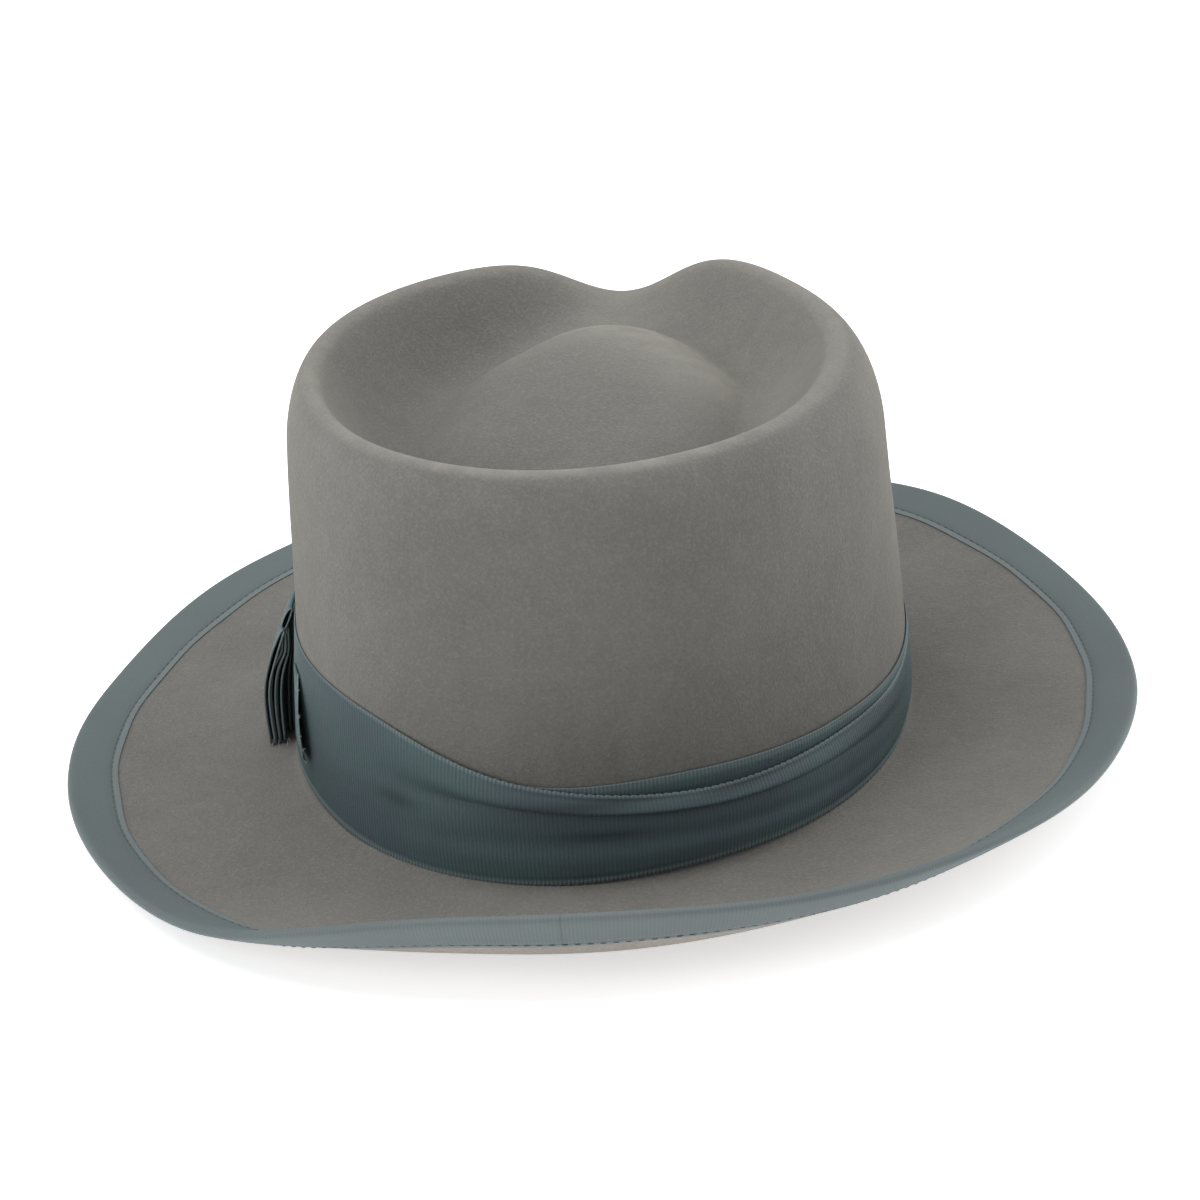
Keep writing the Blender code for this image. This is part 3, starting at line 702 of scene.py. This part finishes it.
def make_felt_body():
    """The crown and brim in one piece, with a pale ridge line of rubbed felt and painted highlight."""
    turn = np.arange(FELT_TURNS) * TAU / FELT_TURNS
    along = np.linspace(BRIM_WIDTH, 0, BRIM_ROWS)[None]
    flat = brim(turn[:, None], along)
    angle = np.radians(BREAK_ANGLES)[None]
    corner = wall(turn[:, None], BREAK_RADIUS * (1 - np.sin(angle)), BREAK_RADIUS * (1 - np.cos(angle)))
    upper = crown(turn)
    points = np.concatenate([flat, corner, upper], axis=1)
    below_ridge = ridge_height(turn)[:, None] - upper[..., 2]
    row = np.arange(upper.shape[1])[None]
    # A pale line along the ridge, strongest at the rear: partly wear, partly painted highlight.
    wear_and_highlight = RIDGE_WEAR_AND_HIGHLIGHT * hump(below_ridge - RIDGE_LINE_DROP, RIDGE_LINE_HALF_WIDTH)
    wear_and_highlight = wear_and_highlight * rise(row, RIDGE_ROW - 5, RIDGE_ROW - 1) * (1 - rise(row, RIDGE_ROW + 3, RIDGE_ROW + 7))
    rear = hump(turn_gap(turn, RIDGE_LINE_TURN), RIDGE_LINE_HALF_ANGLE)
    wear_and_highlight = wear_and_highlight * (0.5 + 0.5 * rear)[:, None]
    # Painted light, growing towards the front right of the inner slope and of the island.
    forward = PAINTED_LIGHT_TOWARDS[1] * upper[..., 1] + PAINTED_LIGHT_TOWARDS[0] * upper[..., 0]
    slope = rise(row, RIDGE_ROW + 1, RIDGE_ROW + 5)
    island = rise(row, TROUGH_ROW - 2, TROUGH_ROW + 3)
    painted_light = SLOPE_PAINTED_LIGHT * rise(forward, 10 * MM, 55 * MM) * slope
    painted_light = painted_light + ISLAND_PAINTED_LIGHT * rise(forward, 2 * MM, 40 * MM) * island
    wear_and_highlight = np.maximum(wear_and_highlight, painted_light)
    plain = np.zeros((FELT_TURNS, BRIM_ROWS + len(BREAK_ANGLES)))
    marks = {"wear_and_highlight": np.concatenate([plain, wear_and_highlight], axis=1)}
    body = shell("felt_hat", points, [FELT, FELT_LIT_UNDERSIDE], FELT_THICKNESS, marks, hub=crown_centre())
    # Inner faces, under the brim and inside the crown, take the pale copy: painted bounce light.
    body.modifiers["thickness"].material_offset = 1
    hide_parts("felt_body")


# ---------------------------------- binding

def make_binding():
    """Ribbon folded over the brim's edge, ribbed across, with its ends lapped at the rear."""
    columns = BINDING_RIBS * BINDING_RIB_STEPS
    turn = even_turns(columns, BREAK_RADIUS + BRIM_WIDTH)[:, None]
    ribs = rib_heights(columns, BINDING_RIB_STEPS)[:, None]
    uneven = 0.3 * MM * np.sin(9 * turn + 1) + 0.2 * MM * np.sin(23 * turn)
    across = np.array([0, 0.02, 0.06, 0.12, 0.16, 0.2, 0.35, 0.55, 0.75, 0.9, 1.0])[None]
    puff = BINDING_PLAY + BINDING_PUFF * np.sin(math.pi * across) + BINDING_LIFT * across
    dent = BINDING_DENT * hump(across - BINDING_SEAM, 0.025)
    past_join = turn_gap(turn, BINDING_JOIN)
    lap = BINDING_LAP * rise(past_join, -0.05, -0.045) * (past_join < 0)
    bend = np.radians(np.linspace(90, -90, 8)[1:-1])[None]

    def path(places, offset):
        """Points of the section from the upper inner edge round to the lower inner edge."""
        low = BRIM_WIDTH - BINDING_WIDTH + uneven
        lift = np.interp(places, across[0], (puff - dent)[0]) + lap - offset
        top = brim(turn, low + (BRIM_WIDTH - low) * places, lift)
        radius = FELT_THICKNESS / 2 + 0.4 * MM - offset
        edge = brim(turn, BRIM_WIDTH + radius * np.cos(bend) + 0.05 * MM,
                    radius * np.sin(bend) - FELT_THICKNESS / 2)
        back = places[:, ::-1]
        under_lift = np.interp(back, across[0], (puff - dent)[0]) - offset
        under = brim(turn, BRIM_WIDTH - (BINDING_UNDER_WIDTH + uneven) * (1 - back),
                     -FELT_THICKNESS - under_lift)
        return np.concatenate([top, edge, under], axis=1)

    outer = path(across, 0.0)
    inner = path(np.array([[0.0, 0.5, 1.0]]), BINDING_THICKNESS)
    edge = np.concatenate([across, np.ones(bend.shape), across[:, ::-1]], axis=1)
    selvage = 1 - rise(edge, 0.11, 0.16)
    relief = BINDING_RELIEF * (ribs - 0.5) * (1 - 0.7 * selvage)
    outer = outer + outward(outer, True) * relief[..., None]
    shadow = 0.5 * hump(edge - (BINDING_SEAM + 0.005), 0.02)
    joint = 0.3 * hump(past_join, 0.0022)
    # Painted bounce light: paler towards the fold of the edge, around the joint at the rear.
    painted_light = BINDING_PAINTED_LIGHT * hump(past_join, 0.4) * rise(edge, 0.3, 0.9)
    marks = {"rib": np.broadcast_to(ribs, outer.shape[:2]),
             "edge": np.maximum(0.6 * selvage * (0.7 + 0.3 * ribs), painted_light),
             "dark": np.maximum(shadow, joint)}
    binding = ring("brim_binding_ribbon", outer, inner, [BINDING], marks)
    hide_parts("brim_binding")


def joint_stitches(arch):
    """A short column of stitches across the binding's joint, near its upper inner edge."""
    starts = BRIM_WIDTH - BINDING_WIDTH * np.array(JOINT_STITCH_PLACES)[:, None]
    run = 1.0 * MM * np.linspace(0, 1, STITCH_POINTS)[None]
    return brim(BINDING_JOIN, starts - run, 0.75 * MM + arch)


def make_binding_stitches():
    """Single stitches through both faces of the binding, near its inner edges."""
    turn = even_turns(BINDING_STITCHES, BREAK_RADIUS + BRIM_WIDTH - BINDING_WIDTH)
    step = np.diff(np.append(turn, TAU))
    run = turn[:, None] + step[:, None] * np.linspace(0.1, 0.72, STITCH_POINTS)[None]
    arch = STITCH_ARCH * np.sin(math.pi * np.linspace(0, 1, STITCH_POINTS))[None]
    # Each row's names, binding width, thread radius, distance from the upper face, and side.
    upper = ("binding_stitches_upper", "binding_stitch_upper", BINDING_WIDTH, 0.12 * MM, 0.24 * MM, 1)
    lower = ("binding_stitches_lower", "binding_stitch_lower", BINDING_UNDER_WIDTH, 0.2 * MM,
             2.04 * MM, -1)
    for name, node, width, radius, base, sign in (upper, lower):
        along = BRIM_WIDTH - 0.84 * width + 0.3 * MM * np.sin(9 * run + 1)
        lines = brim(run, along, sign * (base + arch))
        if sign > 0:
            lines = np.concatenate([lines, joint_stitches(arch)])
        stitches = tubes(name, lines, radius, 6, [DARK_THREAD])
        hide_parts(node)


# ---------------------------------- band

def band_section(turn, rows):
    """The band's surface at each turn: distances from the wall and heights, row by row."""
    places = np.linspace(0, 1, rows)
    low = around(BAND_LOW, turn)[:, None]
    crest = around(BAND_CREST, turn)[:, None]
    top = around(BAND_TOPS, turn)[:, None]
    section = smooth_path(FOLD_SECTION, places)
    share = section[:, 1][None]
    height = np.where(share < 1, low + (crest - low) * share, crest + (top - crest) * (share - 1))
    flat_height = low + (top - low) * places[None]
    flat_out = BAND_OUT + BAND_BELLY * np.sin(math.pi * places)[None] + 0 * turn[:, None]
    open_fold = np.clip(around(FOLD_OPEN, turn), 0, 1)[:, None]
    out = flat_out + (section[:, 0][None] - flat_out) * open_fold
    return out * MM, (flat_height + (height - flat_height) * open_fold) * MM


def spots(turn, height, places):
    """The strength of soft-edged spots: turn, height, half angle and half height of each."""
    total = 0 * height
    for degrees, middle, half_angle, half_height in places:
        across = hump(turn_gap(turn, math.radians(degrees)), math.radians(half_angle))[:, None]
        total = total + across * hump(height - middle * MM, half_height * MM)
    return total


def make_band():
    """The ribbon around the crown, with the lengthwise fold that takes up its slack."""
    columns = BAND_RIBS * RIB_STEPS
    turn = even_turns(columns, 0.0)
    ribs = rib_heights(columns, RIB_STEPS)[:, None]
    out, height = band_section(turn, BAND_ROWS)
    base = wall(turn[:, None], height, out)
    normal = outward(base, True)
    picks = np.linspace(0, BAND_ROWS - 1, BAND_INNER_ROWS).astype(int)
    inner = (base - normal * RIBBON)[:, picks]
    length = np.cumsum(np.linalg.norm(np.diff(base, axis=1, prepend=base[:, :1]), axis=-1), axis=1)
    edge_gap = np.minimum(length, 2 * (length[:, -1:] - length))
    selvage = 1 - rise(edge_gap, 0.8 * SELVAGE, 1.1 * SELVAGE)
    groove = hump(edge_gap - 1.2 * SELVAGE, 0.35 * MM)
    relief = RIB_RELIEF * (ribs - 0.5) * (1 + 0.6 * selvage) - GROOVE * groove
    outer = base + normal * relief[..., None]
    picot = PICOT * (np.arange(columns) // RIB_STEPS % 2)[:, None] * hump(edge_gap, 0.5 * MM)
    outer[..., 2] += picot * np.where(np.arange(BAND_ROWS) < BAND_ROWS / 2, -1, 1)[None]
    # Painted light: the paler patch lifts the band towards the selvage's colour.
    pale_tone = 0.14 * spots(turn, height, BAND_PAINTED_LIGHT)
    # Painted shade: in the groove by each selvage, in the wrinkles' creases and on the band's sides.
    shade = 0.6 * spots(turn, height, BAND_WRINKLE_SHADES) + 0.5 * spots(turn, height, BAND_SHADES)
    marks = {"rib": np.broadcast_to(ribs, outer.shape[:2]),
             "edge": selvage * (0.15 + 0.8 * ribs) + pale_tone * (1 - selvage),
             "dark": np.clip(0.5 * groove + shade * (1 - selvage), 0, 1),
             "stain": np.clip(0.5 * spots(turn, height, BAND_STAINS), 0, 0.5)}
    band = ring("hat_band_ribbon", outer, inner, [BAND], marks)
    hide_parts("hat_band")


def make_under_band():
    """The second layer of ribbon, which shows above the band at the rear right."""
    columns = BAND_RIBS * RIB_STEPS
    turn = even_turns(columns, 0.0)
    ribs = rib_heights(columns, RIB_STEPS)[:, None]
    places = np.array(UNDER_BAND_PLACES)[None]
    top = around(UNDER_BAND_TOPS, turn)[:, None] * MM
    height = UNDER_BAND_FOOT + (top - UNDER_BAND_FOOT) * places
    rear = hump(turn_gap(turn, UNDER_BAND_LEAN_TURN), 0.9)[:, None]
    out = UNDER_BAND_OUT + UNDER_BAND_LEAN * rear * rise(places, 0.7, 0.92)
    base = wall(turn[:, None], height, out)
    normal = outward(base, True)
    inner = (base - normal * 0.25 * MM)[:, ::5]
    edge_gap = top - height
    selvage = 1 - rise(edge_gap, 0.8 * SELVAGE, 1.1 * SELVAGE)
    outer = base + normal * (RIB_RELIEF * (ribs - 0.5) * (1 - 0.6 * selvage))[..., None]
    marks = {"rib": np.broadcast_to(ribs, outer.shape[:2]), "edge": 0.45 * selvage * ribs + 0.18,
             "dark": 0 * edge_gap}
    band = ring("under_band_ribbon", outer, inner, [BAND], marks)
    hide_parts("under_band")


# ---------------------------------- bow

def ribbed_patch(name, node, turns, heights, outs, ribs_up=True, marks=None,
                 thickness=RIBBON):
    """A small piece of ribbon on a lattice of turns, heights and distances from the wall."""
    points = wall(turns, heights, outs)
    columns, rows = points.shape[:2]
    if ribs_up:
        ribs = np.broadcast_to(rib_heights(columns, RIB_STEPS)[:, None], (columns, rows))
    else:
        ribs = np.broadcast_to(rib_heights(rows, RIB_STEPS)[None], (columns, rows))
    normal = outward(points, False)
    points = points + normal * (0.12 * MM * (ribs - 0.5))[..., None]
    full = {"rib": ribs, "edge": 0 * ribs, "dark": 0 * ribs, **(marks or {})}
    piece = shell(name, points, [BAND], thickness, full, wrap=False)
    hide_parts(node)


def make_bow():
    """Folds of ribbon, one outside the other, under a crosspiece, with a curled loop above."""
    for k, plies in enumerate(BOW_PLIES):
        doubled = len(plies) == 2
        path = list(zip(plies[0], BOW_HEIGHTS))
        if doubled:
            path += list(zip(plies[1], BOW_HEIGHTS))[::-1]
        section = smooth_path(path, np.linspace(0, 1, 46 if doubled else 24))
        rear = BOW_REAR_TURN - (0.25 * (5 - k) if doubled else 4.0 + 0.5 * (2 - k))
        degrees = np.linspace(BOW_FRONT_TURN + 1.2 * k, rear, 127)[:, None]
        outs = section[:, 0][None] * MM + 0.06 * MM * np.sin(degrees * 0.9 + k)
        heights = section[:, 1][None] * MM + 0.2 * MM * np.sin(degrees * 0.5 + 2 * k)
        edge = 0.85 * rise(degrees, rear - 0.5, rear - 0.2) + 0 * outs
        ribbed_patch(f"bow_fold_{k + 1}", f"bow_layer_{k + 1}", np.radians(degrees), heights, outs,
                     marks={"edge": edge}, thickness=BOW_PLY)
    make_knot()
    make_loop()
    make_band_end()


def make_knot():
    """The crosspiece over the folds."""
    degrees = np.linspace(*KNOT_TURNS, 37)[:, None]
    path = [*KNOT_FOOT, *zip(np.add(BOW_PLIES[-1][-1], KNOT_GAP), BOW_HEIGHTS), *KNOT_HEAD]
    section = smooth_path(path, np.linspace(0, 1, 74))
    side = np.abs(np.linspace(-1, 1, 37))[:, None]
    outs = section[:, 0][None] * MM + KNOT_CROWN * (1 - side ** 2)
    heights = section[:, 1][None] * MM + 0 * degrees
    ribbed_patch("bow_crosspiece", "bow_knot", np.radians(degrees), heights, outs,
                 ribs_up=False, marks={"edge": 0.6 * rise(side, 0.72, 0.8) + 0 * outs})


def make_loop():
    """A narrow curled loop that stands above the bow's rear end."""
    degrees = np.linspace(*LOOP_TURNS, 31)[:, None]
    section = smooth_path(LOOP_SECTION, np.linspace(0, 1, 40))
    outs = section[:, 0][None] * MM + 0 * degrees
    heights = section[:, 1][None] * MM + 0 * degrees
    edge = 0.8 * rise(degrees, LOOP_TURNS[1] - 0.6, LOOP_TURNS[1] - 0.2) + 0 * outs
    ribbed_patch("bow_curled_loop", "bow_upper_loop", np.radians(degrees), heights, outs,
                 marks={"edge": edge}, thickness=0.3 * MM)


def make_band_end():
    """The loose end of the band, lifting off behind the bow, with its frayed threads."""
    height = np.linspace(FLAP_HEIGHTS[0], FLAP_HEIGHTS[-1], 26)[None]
    free = np.interp(height, FLAP_HEIGHTS, FLAP_TURNS)
    part = np.linspace(0, 1, 40)[:, None]
    degrees = FLAP_ROOT + (free - FLAP_ROOT) * part
    outs = (FLAP_OUT + np.interp(height, FLAP_HEIGHTS, FLAP_LIFTS) * part ** FLAP_CURL) * MM
    edge = 0.9 * rise(part, 0.94, 0.98) + 0 * outs
    ribbed_patch("band_end", "band_end_flap", np.radians(degrees), height * MM + 0 * degrees, outs,
                 marks={"edge": edge})
    chance = np.random.default_rng(FRAY_SEED)
    along = np.linspace(0, 1, FRAY_POINTS)
    lines = []
    for _ in range(FLAP_FRAYS):
        at = FLAP_HEIGHTS[0] + (FLAP_HEIGHTS[-1] - FLAP_HEIGHTS[0]) * chance.random()
        turn = np.interp(at, FLAP_HEIGHTS, FLAP_TURNS)
        lift = np.interp(at, FLAP_HEIGHTS, FLAP_LIFTS)
        away = (0.3 + 0.8 * chance.random()) * along
        aside = chance.normal(0, 0.5, 2)[:, None] * along ** 1.5
        lines.append(wall(np.radians(turn - 0.1 + 0.66 * away), (at + aside[0]) * MM,
                          (1.2 + lift + aside[1]) * MM))
    threads = tubes("band_end_threads", lines, FLAP_FRAY_RADIUS, FRAY_SIDES, [PALE_THREAD])
    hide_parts("band_end_flap")
    lines = []
    for _ in range(BOW_FRAYS):
        turn = np.radians(chance.uniform(9, 16.2))
        out = chance.uniform(3.0, 8.6)
        lines.append(wall(turn + 0.02 * chance.normal() * along, (1.6 - 1.5 * along) * MM,
                          (out + chance.normal(0.3, 0.9) * along ** 1.5) * MM))
    threads = tubes("bow_frayed_threads", lines, BOW_FRAY_RADIUS, FRAY_SIDES, [PALE_THREAD])
    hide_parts("bow_layer_6")


# ---------------------------------- inside

def make_sweatband():
    """The leather band, with the reed at its lower edge, and its tape and stitches."""
    turn = np.arange(FELT_TURNS) * TAU / FELT_TURNS
    part = np.linspace(0, 1, 24)[None]
    top_wave = 0.3 * MM * part * np.sin(5 * turn)[:, None]
    height = SWEATBAND_FOOT + (SWEATBAND_HEIGHT - 0.4 * MM) * part + top_wave
    lean = 0.35 * MM * np.sin(6 * turn)[:, None] * part ** 2
    face = wall(turn[:, None], height, -SWEATBAND_INSET - lean)
    band = shell("sweatband_leather", face, [LEATHER], LEATHER_THICKNESS)
    bevel = band.modifiers.new("edges", "BEVEL")
    bevel.width = 0.3 * MM
    bevel.segments = 2
    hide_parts("sweatband")

    angle = np.arange(REED_SIDES) * TAU / REED_SIDES
    reed = wall(turn[:, None], REED_HEIGHT + REED_RADIUS * np.sin(angle)[None],
                -REED_INSET + REED_RADIUS * np.cos(angle)[None])
    faces = quads(FELT_TURNS, REED_SIDES, True, True)
    piece = lie("sweatband_edge_reed", reed.reshape(-1, 3), faces, [REED])
    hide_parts("sweatband_reed")

    tape = wall(turn[:, None], TAPE_FOOT + TAPE_WIDTH * np.linspace(0, 1, 6)[None], -TAPE_INSET)
    piece = shell("reed_cover_tape", tape, [TAPE], TAPE_THICKNESS)
    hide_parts("reed_tape")

    start = even_turns(SWEATBAND_STITCHES, 0.0)
    step = np.diff(np.append(start, TAU))
    run = start[:, None] + step[:, None] * np.linspace(0.12, 0.75, STITCH_POINTS)[None]
    arch = SWEATBAND_STITCH_ARCH * np.sin(math.pi * np.linspace(0, 1, STITCH_POINTS))[None]
    lines = wall(run, SWEATBAND_STITCH_HEIGHT, -SWEATBAND_STITCH_INSET - arch)
    stitches = tubes("sweatband_stitches", lines, 0.2 * MM, 6, [TRIM_THREAD])
    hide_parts("sweatband_stitch")


def make_rear_bow():
    """The small flat bow over the sweatband's seam."""
    side = np.linspace(-1, 1, 41)
    turns = math.pi / 2 + REAR_BOW_HALF_ANGLE * side[:, None]
    half = (1.5 + 2.6 * np.abs(side) ** 0.7)[:, None] * MM
    part = np.linspace(-1, 1, 13)[None]
    centre = SWEATBAND_FOOT + SWEATBAND_HEIGHT - REAR_BOW_DROP
    outs = -REAR_BOW_INSET - 0.5 * MM * hump(np.abs(side) - 0.55, 0.3)[:, None] * (1 - part ** 2)
    ribbed_patch("sweatband_bow", "sweatband_rear_bow", turns[::-1], centre + half * part, outs,
                 thickness=0.3 * MM)


def make_tag():
    """A blank card tag against the sweatband."""
    turns = TAG_TURN + np.linspace(-1, 1, 13)[:, None] * TAG_HALF_WIDTH / WALL_HALF_LENGTH
    foot = SWEATBAND_FOOT + SWEATBAND_HEIGHT - TAG_DROP
    height = foot + TAG_HEIGHT * np.linspace(0, 1, 9)[None]
    face = wall(turns, height, -TAG_INSET)
    tag = shell("blank_tag", face[::-1], [CARD], -TAG_THICKNESS, wrap=False)
    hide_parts("size_tag")


def make_lining():
    """Satin: a pleated side strip and a tip that follows the crown's top."""
    turn = np.arange(LINING_TURNS) * TAU / LINING_TURNS
    rows = crown(turn)
    normal = outward(rows, True)
    sunk = rows - normal * LINING_INSET
    heights = rows[0, :, 2]
    first = int(np.argmax(heights > LINING_FOOT))
    last = WALL_ROWS - 2
    side = sunk[:, first:last]
    pleats = 0.5 + 0.5 * np.cos(LINING_PLEATS * turn + 0.6 * np.sin(5 * turn))
    side = side - normal[:, first:last] * (PLEAT_DEPTH * pleats ** 3)[:, None, None]
    piece = shell("lining_side_strip", side, [SATIN], LINING_THICKNESS)
    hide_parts("lining_side")
    tip = sunk[::3, WALL_ROWS + 2:]
    centre = crown_centre() - [0, 0, LINING_INSET]
    piece = shell("lining_tip_panel", tip, [SATIN], LINING_THICKNESS, hub=centre)
    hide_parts("lining_tip")


# ---------------------------------- stage

def make_camera():
    """The camera, behind the hat, a little above it and slightly rolled."""
    back = Vector((math.cos(CAMERA_TURN) * math.cos(CAMERA_ELEVATION),
                   math.sin(CAMERA_TURN) * math.cos(CAMERA_ELEVATION), math.sin(CAMERA_ELEVATION)))
    level = Vector((0, 0, 1)).cross(back).normalized()
    upright = back.cross(level)
    right = math.cos(CAMERA_ROLL) * level - math.sin(CAMERA_ROLL) * upright
    up = back.cross(right)
    camera = bpy.data.objects.new("camera", bpy.data.cameras.new("camera"))
    camera.data.lens = CAMERA_LENS
    camera.data.sensor_width = 36.0
    place = Vector(CAMERA_AIM + BREAK_CENTRE) + back * CAMERA_DISTANCE
    camera.matrix_world = Matrix.Translation(place) @ Matrix((right, up, back)).transposed().to_4x4()
    bpy.context.scene.collection.objects.link(camera)
    bpy.context.scene.camera = camera


def make_light(name, place, power):
    """A white square light that faces the hat."""
    light = bpy.data.lights.new(name, "AREA")
    light.energy = power
    light.size = LIGHT_SIZE
    lamp = bpy.data.objects.new(name, light)
    lamp.location = place
    lamp.rotation_mode = "QUATERNION"
    lamp.rotation_quaternion = (Vector(place) - Vector(LIGHT_AIM)).to_track_quat("Z", "Y")
    bpy.context.scene.collection.objects.link(lamp)


def make_stage():
    """The white surroundings, the pale floor and the lights."""
    scene = bpy.context.scene
    scene.view_settings.view_transform = "Standard"
    world = bpy.data.worlds.new("studio")
    world.use_nodes = True
    world.node_tree.nodes["Background"].inputs["Color"].default_value = (1, 1, 1, 1)
    world.node_tree.nodes["Background"].inputs["Strength"].default_value = WORLD_STRENGTH
    scene.world = world
    floor_mesh = bpy.data.meshes.new("floor")
    half = FLOOR_HALF_WIDTH
    floor_mesh.from_pydata([(-half, -half, 0), (half, -half, 0), (half, half, 0), (-half, half, 0)],
                           [], [(0, 1, 2, 3)])
    floor = bpy.data.objects.new("floor", floor_mesh)
    floor.location.z = CAD_LOW.z - FLOOR_GAP
    paint = Finish("floor_paint", 0.9, Emission_Color=(1, 1, 1, 1), Emission_Strength=FLOOR_GLOW)
    floor_mesh.materials.append(paint.done(paint.blend(paint.noise(3, 1), (0.92, 0.92, 0.92),
                                                       (0.94, 0.94, 0.94))))
    scene.collection.objects.link(floor)
    for name, place, power in LIGHTS:
        make_light(name, place, power)


# ---------------------------------- assembly

make_camera()
make_stage()
make_felt_body()
make_binding()
make_binding_stitches()
make_band()
make_under_band()
make_bow()
make_sweatband()
make_rear_bow()
make_tag()
make_lining()
